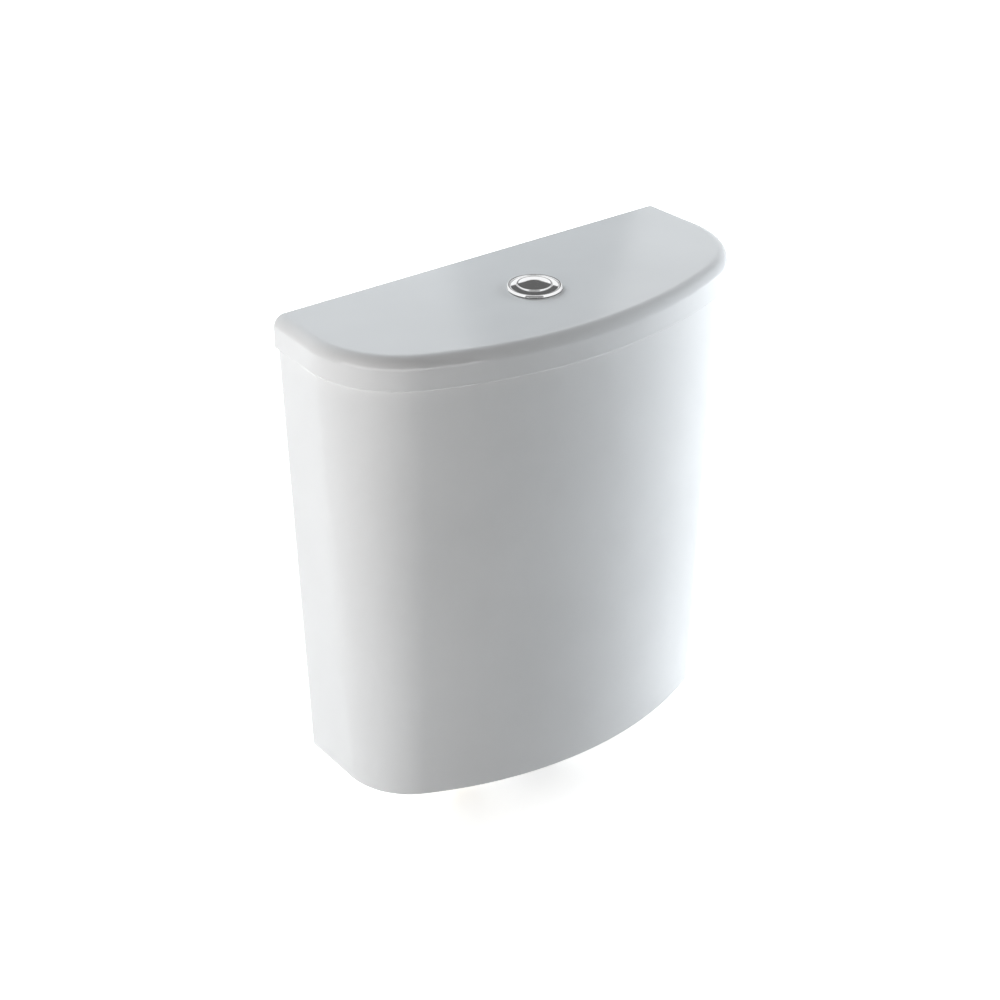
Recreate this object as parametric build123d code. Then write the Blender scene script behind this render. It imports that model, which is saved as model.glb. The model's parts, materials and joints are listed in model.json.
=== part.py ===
from build123d import *
import math
import os

# Close-coupled toilet cistern, dimensions in millimetres.
# The origin is on the outlet's axis, in the plane where the coupling washer meets the pan.
# +Z is up, +Y points to the wall and +X to the right for someone facing the cistern.

# Tank outside, with the foot's plan as shares of the lid's
tank_height = 371.4
foot_width_share = 0.90052
foot_depth_share = 0.91514
foot_bow_share = 0.87953
foot_corner_share = 0.72376
foot_flare_share = 0.031
tank_back_radius = 5.0
foot_edge_radius = 3.0
rim_edge_radius = 1.0

# Tank inside
wall_thickness = 10.0
floor_thickness = 12.0
inner_back_radius = 16.0
floor_fillet = 8.0

# Lid outside
lid_half_width = 190.0
lid_depth = 163.8
lid_bow_radius = 358.6
lid_corner_share = 0.5061
lid_flare_share = 0.052
lid_height = 26.4
lid_overhang = 3.2
lid_edge_radius = 10.0
lid_back_radius = 4.0
lid_foot_radius = 1.0

# Lid underside
lid_plate_thickness = 12.0
lip_height = 5.0
lip_width = 6.0
lip_clearance = 2.0
pocket_fillet = 4.0

# Holes in the tank
outlet_hole_radius = 32.5
bolt_hole_radius = 6.2
inlet_hole_radius = 11.4
wall_hole_radius = 4.0
wall_hole_share = 0.57895
wall_hole_drop = 38.4
outlet_share = 0.4884
bolt_share = 0.394737
bolt_row_y = 10.0
inlet_share = 0.589474
inlet_y = 25.0

# Clearances that more than one piece uses
seat_clearance = 0.1
running_clearance = 0.05
sliding_clearance = 0.3
cut_overrun = 2.0

# Coupling washer and flush valve base
coupling_washer_height = 12.0
coupling_washer_radius = 52.0
coupling_washer_bore = 42.0
coupling_washer_chamfer = 2.0
nozzle_radius = 27.0
nozzle_length = 18.0
nozzle_chamfer = 1.5
spigot_radius = 29.8
flush_bore_radius = 24.0
base_flange_radius = 42.0
base_flange_thickness = 4.0
base_washer_thickness = 3.0
base_washer_outer = 40.0
seat_lip_width = 2.5
seat_lip_height = 4.0
backnut_height = 10.0
backnut_radius = 37.0
backnut_lug_radius = 39.5
backnut_lug_width = 9.0
backnut_lugs = 8

# Valve tower
tower_outer_radius = 34.0
tower_wall = 3.0
tower_foot_height = 6.0
cage_height = 66.0
cage_top_thickness = 4.0
cage_posts = 6
cage_post_width = 9.0
cage_vent_radius = 4.0
cage_vent_circle = 23.0
cage_vents = 6
column_width = 14.0
column_thickness = 4.5
column_inset = 2.5
column_rung_height = 3.0
column_rung_spacing = 24.0
column_rung_depth = 1.2

# Tower head and levers, in the plane of the two push rods
button_clock_deg = 53.0
lever_drop = 47.4
lever_push_share = 0.1221
lever_ratio = 1.3
lever_width = 7.6
lever_bar_height = 5.0
lever_tip_radius = 3.0
lever_boss_radius = 5.0
lever_pin_radius = 2.0
lever_pin_head_radius = 3.2
lever_pin_head_height = 1.2
lever_gap = 0.5
ear_gap = 0.5
ear_thickness = 3.0
ear_width = 9.0
head_thickness = 4.0
head_drop = 14.5
head_half_length = 41.0
head_half_width = 32.0
head_bore_radius = 17.5
head_corner_radius = 8.0

# Overflow tube and its seal
tube_radius = 14.0
tube_wall = 1.5
tube_drop = 40.0
seal_thickness = 3.0
seal_radius = 28.5
foot_flange_radius = 26.5
foot_flange_thickness = 4.0
retainer_radius = 19.5
retainer_height = 5.0
tube_tail = 1.0

# What rides on the tube, from the cage up to the lift collar
full_float_gap_share = 0.136
full_float_share = 0.213
lift_clearance = 1.6
float_radius = 25.0
float_shelf_radius = 19.0
float_shelf_thickness = 4.0
float_fillet = 3.0
float_wall = 1.6
collar_drop = 20.0
collar_thickness = 10.0
collar_wall = 5.0
link_width = 8.0
link_thickness = 4.0
link_gap = 1.0
link_hook_thickness = 4.0
link_arm_height = 5.0

# Half flush carriage
carriage_gap = 14.0
carriage_wall = 2.7
carriage_arm_drop = 9.0
half_float_gap_share = 0.262
half_float_share = 0.4286

# Button in the lid
bezel_outer_radius = 21.8
bezel_rise = 2.5
bezel_bore_radius = 19.4
bezel_wall = 1.1
bezel_edge = 1.1
bezel_sleeve_length = 28.0
lid_hole_clearance = 0.4
gasket_thickness = 0.6
gasket_inset = 0.5
locknut_radius = 27.0
locknut_height = 8.0
locknut_notches = 12
locknut_notch_radius = 1.6
button_clearance = 0.2
button_thickness = 3.0
button_sink = 0.5
full_dish_depth = 1.0
half_button_radius = 13.8
half_button_offset = 4.6
half_dish_depth = 0.7
split_clearance = 0.15
button_edge = 0.3
stem_radius = 3.0
stem_offset = 13.5
stem_root = 1.0
press_travel = 8.0
guide_depth = 24.0
guide_thickness = 4.0
guide_flange_thickness = 2.0
guide_boss_wall = 2.0
guide_boss_length = 10.0
guide_drain_radius = 3.0
stop_gap = 0.3

# Push rods and springs
rod_radius = 2.0
rod_insertion = 18.0
rod_locknut_flats = 8.0
rod_locknut_height = 3.0
spring_mean_radius = 3.6
spring_wire_radius = 0.35
spring_turns = 7

# Fixings to the pan
bolt_thread_radius = 4.0
bolt_neck_radius = 3.6
bolt_head_radius = 7.5
bolt_head_height = 5.0
bolt_head_edge = 1.6
bolt_slot_width = 1.6
bolt_slot_depth = 2.0
bolt_washer_radius = 10.0
bolt_washer_thickness = 1.5
bolt_seal_thickness = 4.0
bolt_seal_cone = 3.0
tank_nut_flats = 13.0
tank_nut_height = 6.0
bolt_drop = 28.0
pan_washer_drop = 14.0
pan_washer_thickness = 3.0
wing_hub_radius = 6.5
wing_nut_height = 8.0
wing_radius = 6.0
wing_offset = 10.0
wing_thickness = 2.6

# Fill valve
tail_radius = 10.48
tail_drop = 30.0
tail_bore_radius = 6.5
tail_chamfer = 1.0
tail_relief_height = 2.5
tail_relief_radius = 9.6
shank_radius = 10.5
shank_flange_radius = 17.0
shank_flange_thickness = 4.0
tail_washer_thickness = 3.0
tail_nut_flats = 30.0
tail_nut_height = 8.0
tail_nut_flange = 18.0
tail_nut_flange_height = 2.0
filter_radius = 5.6
filter_wall = 1.0
filter_length = 24.0
filter_rim_height = 2.0
filter_slots = 6
filter_slot_width = 1.6
valve_head_drop = 121.4
valve_head_radius = 19.0
valve_head_length = 24.0
head_skirt_depth = 10.0
diaphragm_radius = 15.5
diaphragm_thickness = 2.0
chamber_radius = 12.0
chamber_depth = 6.0
cap_radius = 20.5
cap_height = 7.0
cap_rib_count = 20
cap_rib_radius = 0.9
silencer_offset = 22.0
silencer_radius = 7.0
silencer_wall = 1.5
silencer_foot_gap = 20.0
silencer_socket_depth = 10.0
spout_radius = 9.5
spout_height = 14.0

# Float and float arm of the fill valve
float_travel = 8.0
float_reach = 31.0
float_pivot_offset = 5.0
float_arm_rise = 8.0
cup_radius = 16.0
cup_height = 46.0
cup_wall = 1.6
cup_drop = 58.0
slider_wall = 2.5
slider_height = 12.0
slider_gap = 6.0
link_rod_radius = 1.5
link_collar_radius = 3.0
link_collar_height = 2.0
arm_play = 1.5
arm_width = 7.0
arm_height = 3.0
arm_slot_width = 4.4
arm_slot_length = 6.4
arm_tip = 6.0
arm_boss_radius = 3.0
arm_pin_radius = 1.2
arm_pin_head_radius = 2.0
arm_pin_head_height = 0.8
arm_ear_thickness = 2.0
arm_ear_gap = 0.4
pilot_offset = 7.0
pilot_seal_radius = 2.0
pilot_seal_height = 2.0
pilot_post_radius = 2.6
pilot_gap = 0.2
link_rod_top = 12.0

# Places in plan
outlet_to_wall = lid_depth * outlet_share
bolt_x = lid_half_width * bolt_share
inlet_x = lid_half_width * inlet_share
wall_hole_x = lid_half_width * wall_hole_share
lever_push_arm = lid_depth * lever_push_share
lever_lift_arm = lever_push_arm * lever_ratio
nose_x = stem_offset + lever_push_arm + lever_lift_arm
post_x = nose_x + lever_tip_radius + link_gap

# Levels
foot_z = coupling_washer_height
floor_z = foot_z + floor_thickness
rim_z = foot_z + tank_height
lid_z = rim_z + lid_height
plate_z = lid_z - lid_plate_thickness
flange_z = floor_z + base_washer_thickness
tower_z = flange_z + base_flange_thickness
seat_z = tower_z + seat_lip_height
pivot_z = rim_z - lever_drop
head_z = pivot_z - head_drop
seal_top_z = seat_z + seal_thickness
cage_top_z = tower_z + tower_foot_height + cage_height
stack_z = cage_top_z + cage_top_thickness
tube_top_z = pivot_z - tube_drop
collar_z = tube_top_z - collar_drop
full_float_z = stack_z + (collar_z - stack_z) * full_float_gap_share
full_float_length = (collar_z - stack_z) * full_float_share
seal_lift = press_travel * lever_ratio
carriage_z = full_float_z + full_float_length + seal_lift + lift_clearance
carriage_length = collar_z - carriage_gap - carriage_z
half_float_z = carriage_z + carriage_length * half_float_gap_share
half_float_length = carriage_length * half_float_share
bezel_top_z = lid_z + bezel_rise
button_top_z = bezel_top_z - button_sink
button_under_z = button_top_z - button_thickness
guide_z = lid_z - guide_depth
boss_end_z = guide_z - guide_thickness - guide_boss_length
stem_end_z = boss_end_z - stop_gap
rod_tip_z = pivot_z + lever_tip_radius + lever_gap
hook_z = pivot_z + lever_tip_radius + lever_gap

clock = Rot(0, 0, button_clock_deg)
pieces = {}


# General shapes
def disc(radius, bottom, top):
    return Pos(0, 0, bottom) * Cylinder(radius, top - bottom, align=(Align.CENTER, Align.CENTER, Align.MIN))


def bore(radius, bottom, top):
    return disc(radius, bottom - cut_overrun, top + cut_overrun)


def ring(inner, outer, bottom, top):
    return disc(outer, bottom, top) - bore(inner, bottom, top)


def block(x_low, x_high, y_low, y_high, z_low, z_high):
    box = Box(x_high - x_low, y_high - y_low, z_high - z_low, align=(Align.MIN, Align.MIN, Align.MIN))
    return Pos(x_low, y_low, z_low) * box


def cross_pin(radius, x, z, y_low, y_high):
    pin = Cylinder(radius, y_high - y_low, align=(Align.CENTER, Align.CENTER, Align.MIN))
    return Pos(x, y_high, z) * Rot(90, 0, 0) * pin


def around(count, shape):
    return [Rot(0, 0, 360 / count * turn) * shape for turn in range(count)]


def hexagon(flats, bottom, top):
    outline = RegularPolygon(flats / 2, 6, major_radius=False)
    return Pos(0, 0, bottom) * extrude(outline, top - bottom)


def edges_at(shape, z):
    return [edge for edge in shape.edges() if edge.bounding_box().min.Z > z - seat_clearance
            and edge.bounding_box().max.Z < z + seat_clearance]


# D-shaped plan of the tank and the lid: flat back, flared sides, corner arcs and one bow
lid_corner_radius = lid_depth * lid_corner_share
lid_plan = (lid_half_width, lid_depth, lid_bow_radius, lid_corner_radius, lid_flare_share)
foot_plan = (lid_half_width * foot_width_share, lid_depth * foot_depth_share,
             lid_bow_radius * foot_bow_share, lid_corner_radius * foot_corner_share, foot_flare_share)


def plan_points(plan, inset, back_inset, back_radius):
    half_width, depth, bow_radius, corner_radius, flare = plan
    slope = math.hypot(1, flare)
    out = (1 / slope, flare / slope)
    run = (flare / slope, -1 / slope)
    bow_y = bow_radius - depth
    start = (half_width - corner_radius * out[0], -corner_radius * out[1])
    along = start[0] * run[0] + (start[1] - bow_y) * run[1]
    excess = start[0] ** 2 + (start[1] - bow_y) ** 2 - (bow_radius - corner_radius) ** 2
    shift = math.sqrt(along ** 2 - excess) - along
    corner = (start[0] + shift * run[0], start[1] + shift * run[1])
    turn = math.atan2(corner[1] - bow_y, corner[0])
    side_turn = math.atan2(out[1], out[0])
    radius = corner_radius - inset
    reach = inset + back_radius
    back_y = -back_inset - back_radius
    go = (back_y + reach * out[1]) / run[1]
    back = (half_width - reach * out[0] + go * run[0], back_y)

    def polar(centre, length, angle):
        return (centre[0] + length * math.cos(angle), centre[1] + length * math.sin(angle) + outlet_to_wall)

    quarter = math.pi / 2
    return {
        "back": polar(back, back_radius, quarter),
        "back_middle": polar(back, back_radius, (quarter + side_turn) / 2),
        "side_start": polar(back, back_radius, side_turn),
        "side_end": polar(corner, radius, side_turn),
        "corner_middle": polar(corner, radius, (side_turn + turn) / 2),
        "bow_end": polar(corner, radius, turn),
        "front": polar((0, bow_y), bow_radius - inset, -quarter),
    }


def plan_face(plan, z, inset=0, back_inset=0, back_radius=0):
    right = plan_points(plan, inset, back_inset, back_radius)
    left = {name: (-point[0], point[1]) for name, point in right.items()}
    edges = [Line(left["back"], right["back"])]
    if back_radius > 0:
        edges.append(ThreePointArc(right["back"], right["back_middle"], right["side_start"]))
    edges.append(Line(right["side_start"], right["side_end"]))
    edges.append(ThreePointArc(right["side_end"], right["corner_middle"], right["bow_end"]))
    edges.append(ThreePointArc(right["bow_end"], right["front"], left["bow_end"]))
    edges.append(ThreePointArc(left["bow_end"], left["corner_middle"], left["side_end"]))
    edges.append(Line(left["side_end"], left["side_start"]))
    if back_radius > 0:
        edges.append(ThreePointArc(left["side_start"], left["back_middle"], left["back"]))
    return Pos(0, 0, z) * make_face(edges)


# Tank
def make_tank():
    foot = plan_face(foot_plan, foot_z, back_inset=-cut_overrun)
    rim = plan_face(lid_plan, rim_z, lid_overhang, back_inset=-cut_overrun)
    outside = loft([foot, rim], ruled=True)
    reach = 2 * lid_half_width
    outside -= block(-reach, reach, outlet_to_wall, reach, foot_z - cut_overrun, rim_z + cut_overrun)
    upright = [edge for edge in outside.edges() if edge.bounding_box().min.Y > outlet_to_wall - seat_clearance
               and edge.length > tank_height / 2 and edge.bounding_box().size.Z > tank_height / 2]
    outside = fillet(upright, tank_back_radius)
    outside = fillet(edges_at(outside, foot_z), foot_edge_radius)
    low = plan_face(foot_plan, floor_z, wall_thickness, wall_thickness, inner_back_radius)
    high_inset = lid_overhang + wall_thickness
    high = plan_face(lid_plan, rim_z, high_inset, wall_thickness, inner_back_radius)
    inside = loft([low, high], ruled=True)
    inside = fillet(edges_at(inside, floor_z), floor_fillet)
    outside = fillet(edges_at(outside, rim_z), rim_edge_radius)
    tank = outside - inside
    under = foot_z - cut_overrun
    over = floor_z + cut_overrun
    tank -= disc(outlet_hole_radius, under, over)
    for side in (-1, 1):
        tank -= Pos(side * bolt_x, bolt_row_y, 0) * disc(bolt_hole_radius, under, over)
    tank -= Pos(inlet_x, inlet_y, 0) * disc(inlet_hole_radius, under, over)
    back = outlet_to_wall - wall_thickness - cut_overrun
    hole_z = rim_z - wall_hole_drop
    for side in (-1, 1):
        tank -= cross_pin(wall_hole_radius, side * wall_hole_x, hole_z, back, outlet_to_wall + cut_overrun)
    return tank


# Lid
def make_lid():
    slab = extrude(plan_face(lid_plan, rim_z), lid_height)
    crown = [edge for edge in edges_at(slab, lid_z) if edge.center().Y < outlet_to_wall - lid_back_radius]
    slab = fillet(crown, lid_edge_radius)
    back_face = slab.faces().sort_by(Axis.Y)[-1]
    back_edges = [edge for edge in back_face.edges() if edge.bounding_box().max.Z > rim_z + lid_foot_radius]
    slab = fillet(back_edges, lid_back_radius)
    slab = fillet(edges_at(slab, rim_z), lid_foot_radius)
    lip_inset = lid_overhang + wall_thickness + lip_clearance
    lip_back = wall_thickness + lip_clearance
    pocket_z = rim_z - lip_height
    slab += extrude(plan_face(lid_plan, pocket_z, lip_inset, lip_back, inner_back_radius), lip_height)
    pocket = plan_face(lid_plan, pocket_z, lip_inset + lip_width, lip_back + lip_width, inner_back_radius)
    hollow = extrude(pocket, plate_z - pocket_z)
    hollow = fillet(edges_at(hollow, plate_z), pocket_fillet)
    slab -= hollow
    hole_radius = bezel_bore_radius + bezel_wall + lid_hole_clearance
    return slab - bore(hole_radius, plate_z, lid_z)


pieces["tank"] = make_tank()
pieces["lid"] = make_lid()


# Flush valve base: threaded spigot with the nozzle below it and the seat above it
def make_valve_base():
    thread_end = foot_z - backnut_height
    base = disc(base_flange_radius, flange_z, tower_z)
    base += disc(spigot_radius, thread_end, flange_z)
    base += disc(nozzle_radius, -nozzle_length, thread_end)
    base += disc(flush_bore_radius + seat_lip_width, tower_z, seat_z)
    base -= bore(flush_bore_radius, -nozzle_length, seat_z)
    least = flush_bore_radius + nozzle_chamfer
    tip = [edge for edge in edges_at(base, -nozzle_length) if edge.radius > least]
    return chamfer(tip, nozzle_chamfer)


def make_backnut():
    bottom = foot_z - backnut_height
    nut = disc(backnut_radius, bottom, foot_z)
    lug = block(0, backnut_lug_radius, -backnut_lug_width / 2, backnut_lug_width / 2, bottom, foot_z)
    for copy in around(backnut_lugs, lug):
        nut += copy
    return nut - bore(spigot_radius + seat_clearance, bottom, foot_z)


def make_coupling_washer():
    washer = ring(coupling_washer_bore, coupling_washer_radius, 0, coupling_washer_height)
    outer = [edge for edge in washer.edges().filter_by(GeomType.CIRCLE)
             if edge.radius > coupling_washer_radius - seat_clearance]
    return chamfer(outer, coupling_washer_chamfer)


pieces["flush_valve_base"] = make_valve_base()
pieces["base_washer"] = ring(spigot_radius + seat_clearance, base_washer_outer, floor_z, flange_z)
pieces["flush_backnut"] = make_backnut()
pieces["coupling_washer"] = make_coupling_washer()


# Valve tower: a cage round the seat with two columns that carry the head
def make_tower():
    inner = tower_outer_radius - tower_wall
    foot_top = tower_z + tower_foot_height
    windows = ring(inner - tower_wall, tower_outer_radius + tower_wall, foot_top, cage_top_z)
    post = block(0, 2 * tower_outer_radius, -cage_post_width / 2, cage_post_width / 2, foot_top, cage_top_z)
    for copy in around(cage_posts, post):
        windows -= copy
    tower = ring(inner, tower_outer_radius, tower_z, stack_z) - windows
    tower += ring(tube_radius + sliding_clearance, inner + tower_wall / 2, cage_top_z, stack_z)
    vent = bore(cage_vent_radius, cage_top_z, stack_z)
    for copy in around(cage_vents, Pos(cage_vent_circle, 0, 0) * vent):
        tower -= copy
    outer_y = tower_outer_radius - column_inset
    inner_y = outer_y - column_thickness
    half = column_width / 2
    column = block(-half, half, inner_y, outer_y, cage_top_z, head_z)
    for rung in range(1, int((head_z - cage_top_z) / column_rung_spacing)):
        rung_z = cage_top_z + rung * column_rung_spacing
        rung_y = outer_y + column_rung_depth
        column += block(-half, half, outer_y, rung_y, rung_z, rung_z + column_rung_height)
    return tower + column + Rot(0, 0, 180) * column


def make_tower_head():
    plate = RectangleRounded(2 * head_half_length, 2 * head_half_width, head_corner_radius)
    head = Pos(0, 0, head_z) * extrude(plate, head_thickness)
    head -= bore(head_bore_radius, head_z, head_z + head_thickness)
    pivot_x = stem_offset + lever_push_arm
    near = lever_width / 2 + ear_gap
    for side in (-1, 1):
        for hand in (-1, 1):
            low, high = sorted((hand * near, hand * (near + ear_thickness)))
            ear = block(side * pivot_x - ear_width / 2, side * pivot_x + ear_width / 2, low, high,
                        head_z + head_thickness / 2, pivot_z)
            ear += cross_pin(ear_width / 2, side * pivot_x, pivot_z, low, high)
            head += ear
        reach = near + ear_thickness + cut_overrun
        bore_radius = lever_pin_radius + running_clearance
        head -= cross_pin(bore_radius, side * pivot_x, pivot_z, -reach, reach)
    return head


def make_lever_pin(side):
    pivot_x = side * (stem_offset + lever_push_arm)
    reach = lever_width / 2 + ear_gap + ear_thickness
    pin = cross_pin(lever_pin_radius, pivot_x, pivot_z, -reach, reach)
    pin += cross_pin(lever_pin_head_radius, pivot_x, pivot_z, -reach - lever_pin_head_height, -reach)
    return pin + cross_pin(lever_pin_head_radius, pivot_x, pivot_z, reach, reach + lever_pin_head_height)


def make_lever():
    pivot_x = stem_offset + lever_push_arm
    half = lever_width / 2
    low = pivot_z - lever_bar_height / 2
    high = pivot_z + lever_bar_height / 2
    lever = block(stem_offset, nose_x, -half, half, low, high)
    lever += cross_pin(lever_tip_radius, stem_offset, pivot_z, -half, half)
    lever += cross_pin(lever_boss_radius, pivot_x, pivot_z, -half, half)
    lever += cross_pin(lever_tip_radius, nose_x, pivot_z, -half, half)
    reach = half + cut_overrun
    return lever - cross_pin(lever_pin_radius + running_clearance, pivot_x, pivot_z, -reach, reach)


pieces["valve_tower"] = clock * make_tower()
pieces["tower_head"] = clock * make_tower_head()
pieces["lever_pins"] = Compound(children=[clock * make_lever_pin(-1), clock * make_lever_pin(1)])
pieces["half_flush_lever"] = clock * make_lever()
pieces["full_flush_lever"] = clock * Rot(0, 0, 180) * make_lever()


# Overflow tube, which is also the stem of the flush valve
def make_overflow_tube():
    bottom = seat_z - retainer_height - tube_tail
    flange_top = seal_top_z + foot_flange_thickness
    tube = disc(tube_radius, bottom, tube_top_z)
    tube += disc(foot_flange_radius, seal_top_z, flange_top)
    tube += disc(float_shelf_radius, full_float_z - float_shelf_thickness, full_float_z)
    return tube - bore(tube_radius - tube_wall, bottom, tube_top_z)


def make_float(inner, bottom, length):
    top = bottom + length
    shell = disc(float_radius, bottom, top)
    shell = fillet(edges_at(shell, bottom) + edges_at(shell, top), float_fillet)
    shell -= bore(inner, bottom, top)
    air = ring(inner + float_wall, float_radius - float_wall, bottom - cut_overrun, top - float_wall)
    web = block(-float_radius, float_radius, -float_wall / 2, float_wall / 2, bottom, top)
    return shell - (air - web - Rot(0, 0, 90) * web)


# The link goes out from a collar, up past the lever's nose and back over it
def make_link(collar_edge, arm_z):
    half = link_width / 2
    arm = block(collar_edge, post_x + link_thickness, -half, half, arm_z, arm_z + link_arm_height)
    arm += block(post_x, post_x + link_thickness, -half, half, arm_z, hook_z + link_hook_thickness)
    hook_start = nose_x - lever_tip_radius - link_gap
    hook_end = post_x + link_thickness
    return arm + block(hook_start, hook_end, -half, half, hook_z, hook_z + link_hook_thickness)


def make_lift_collar():
    collar_top = collar_z + collar_thickness
    collar = disc(tube_radius + collar_wall, collar_z, collar_top)
    collar += make_link(tube_radius + collar_wall / 2, collar_z + (collar_thickness - link_arm_height) / 2)
    return collar - bore(tube_radius + seat_clearance, collar_z, collar_top)


def make_carriage():
    top = carriage_z + carriage_length
    inner = tube_radius + sliding_clearance
    sleeve = disc(inner + carriage_wall, carriage_z, top)
    sleeve += disc(float_shelf_radius + carriage_wall, half_float_z - float_shelf_thickness, half_float_z)
    sleeve += make_link(tube_radius + carriage_wall / 2, top - carriage_arm_drop)
    return sleeve - bore(inner, carriage_z, top)


on_tube = tube_radius + seat_clearance
on_carriage = tube_radius + sliding_clearance + carriage_wall + seat_clearance
pieces["overflow_tube"] = make_overflow_tube()
pieces["valve_seal"] = ring(on_tube, seal_radius, seat_z, seal_top_z)
pieces["seal_retainer"] = ring(on_tube, retainer_radius, seat_z - retainer_height, seat_z)
pieces["full_flush_float"] = clock * make_float(on_tube, full_float_z, full_float_length)
pieces["lift_collar"] = clock * Rot(0, 0, 180) * make_lift_collar()
pieces["half_flush_carriage"] = clock * make_carriage()
pieces["half_flush_float"] = clock * make_float(on_carriage, half_float_z, half_float_length)


# Bezel ring with its sleeve, held in the lid by a nut under the plate
def make_bezel():
    under = lid_z + gasket_thickness
    bottom = lid_z - bezel_sleeve_length
    bezel = disc(bezel_outer_radius, under, bezel_top_z)
    bezel = fillet(edges_at(bezel, bezel_top_z), bezel_edge)
    bezel += disc(bezel_bore_radius + bezel_wall, bottom, under)
    bezel -= bore(bezel_bore_radius, bottom, bezel_top_z)
    most = bezel_bore_radius + bezel_wall / 2
    inner = [edge for edge in edges_at(bezel, bezel_top_z) if edge.radius < most]
    return fillet(inner, bezel_edge / 2)


def make_bezel_gasket():
    inner = bezel_bore_radius + bezel_wall + seat_clearance
    return ring(inner, bezel_outer_radius - gasket_inset, lid_z, lid_z + gasket_thickness)


def make_locknut():
    sleeve_radius = bezel_bore_radius + bezel_wall
    nut = ring(sleeve_radius + seat_clearance, locknut_radius, plate_z - locknut_height, plate_z)
    notch = Pos(locknut_radius, 0, 0) * bore(locknut_notch_radius, plate_z - locknut_height, plate_z)
    for copy in around(locknut_notches, notch):
        nut -= copy
    return nut


def make_guide():
    bottom = guide_z - guide_thickness
    guide = disc(bezel_bore_radius - seat_clearance, bottom, guide_z)
    guide += disc(bezel_bore_radius + bezel_wall, bottom - guide_flange_thickness, bottom)
    for side in (-1, 1):
        boss = disc(stem_radius + guide_boss_wall, boss_end_z, bottom)
        guide += Pos(side * stem_offset, 0, 0) * boss
    for side in (-1, 1):
        stem_bore = bore(stem_radius + running_clearance, boss_end_z, guide_z)
        guide -= Pos(side * stem_offset, 0, 0) * stem_bore
        drain = disc(guide_drain_radius, boss_end_z, guide_z + cut_overrun)
        guide -= Pos(0, side * stem_offset / 2, 0) * drain
    return guide


pieces["button_bezel"] = make_bezel()
pieces["bezel_gasket"] = make_bezel_gasket()
pieces["button_locknut"] = make_locknut()
pieces["button_guide"] = clock * make_guide()


# Buttons: the half flush button is a disc set off-centre in the full flush button
def dish(radius, depth, rim_z_level):
    ball = (radius ** 2 + depth ** 2) / (2 * depth)
    return Pos(0, 0, rim_z_level - depth + ball) * Sphere(ball)


def make_stem(side):
    stem = disc(stem_radius, stem_end_z, button_under_z + stem_root)
    stem -= disc(rod_radius + seat_clearance, stem_end_z - cut_overrun, stem_end_z + rod_insertion)
    return Pos(side * stem_offset, 0, 0) * stem


def make_full_button():
    radius = bezel_bore_radius - button_clearance
    cap = disc(radius, button_under_z, button_top_z)
    cap = chamfer(edges_at(cap, button_top_z), button_edge)
    cap -= dish(radius - button_edge, full_dish_depth, button_top_z)
    opening = half_button_radius + split_clearance
    cap -= Pos(half_button_offset, 0, 0) * bore(opening, button_under_z, button_top_z)
    return cap + make_stem(-1)


def make_half_button():
    cap = disc(half_button_radius, button_under_z, button_top_z)
    cap = chamfer(edges_at(cap, button_top_z), button_edge)
    cap -= dish(half_button_radius - button_edge, half_dish_depth, button_top_z)
    return Pos(half_button_offset, 0, 0) * cap + make_stem(1)


def make_rod(side):
    return Pos(side * stem_offset, 0, 0) * disc(rod_radius, rod_tip_z, stem_end_z + rod_insertion)


def make_rod_locknut(side):
    bottom = stem_end_z - rod_locknut_height
    nut = hexagon(rod_locknut_flats, bottom, stem_end_z)
    nut -= bore(rod_radius + seat_clearance, bottom, stem_end_z)
    return Pos(side * stem_offset, 0, 0) * nut


# Return spring: one wire wound by formula between the guide and the button
def make_spring(side):
    bottom = guide_z + spring_wire_radius
    height = button_under_z - guide_z - 2 * spring_wire_radius
    path = Helix(height / spring_turns, height, spring_mean_radius)
    section = Plane(path @ 0, z_dir=path % 0) * Circle(spring_wire_radius)
    coil = sweep(section, path=path, is_frenet=True)
    return Pos(side * stem_offset, 0, bottom) * coil


spring_pitch = (button_under_z - guide_z - 2 * spring_wire_radius) / spring_turns
pressed_pitch = spring_pitch - press_travel / spring_turns
print("return spring, gap between turns at rest", round(spring_pitch - 2 * spring_wire_radius, 2))
print("return spring, gap between turns when pressed", round(pressed_pitch - 2 * spring_wire_radius, 2))

for name, side in (("full", -1), ("half", 1)):
    pieces[name + "_flush_rod"] = clock * make_rod(side)
    pieces[name + "_rod_locknut"] = clock * make_rod_locknut(side)
    pieces[name + "_flush_spring"] = clock * make_spring(side)
pieces["full_flush_button"] = clock * make_full_button()
pieces["half_flush_button"] = clock * make_half_button()


# Fixings to the pan
def make_bolt():
    head_bottom = floor_z + bolt_seal_thickness + bolt_washer_thickness
    head_top = head_bottom + bolt_head_height
    neck_top = foot_z - bolt_washer_thickness - tank_nut_height
    neck_bottom = -pan_washer_drop
    half_slot = bolt_slot_width / 2
    bolt = disc(bolt_head_radius, head_bottom, head_top)
    bolt = fillet(edges_at(bolt, head_top), bolt_head_edge)
    bolt -= block(-bolt_head_radius, bolt_head_radius, -half_slot, half_slot, head_top - bolt_slot_depth,
                  head_top + cut_overrun)
    bolt += disc(bolt_thread_radius, neck_top, head_bottom)
    bolt += disc(bolt_neck_radius, neck_bottom, neck_top)
    return bolt + disc(bolt_thread_radius, -bolt_drop, neck_bottom)


def make_bolt_seal():
    top = floor_z + bolt_seal_thickness
    plug_radius = bolt_hole_radius - seat_clearance
    seal = disc(bolt_washer_radius, floor_z, top)
    seal += disc(plug_radius, floor_z - bolt_seal_cone, floor_z)
    return seal - bore(bolt_thread_radius + seat_clearance, floor_z - bolt_seal_cone, top)


def make_steel_washer(bottom):
    inner = bolt_thread_radius + seat_clearance
    return ring(inner, bolt_washer_radius, bottom, bottom + bolt_washer_thickness)


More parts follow.
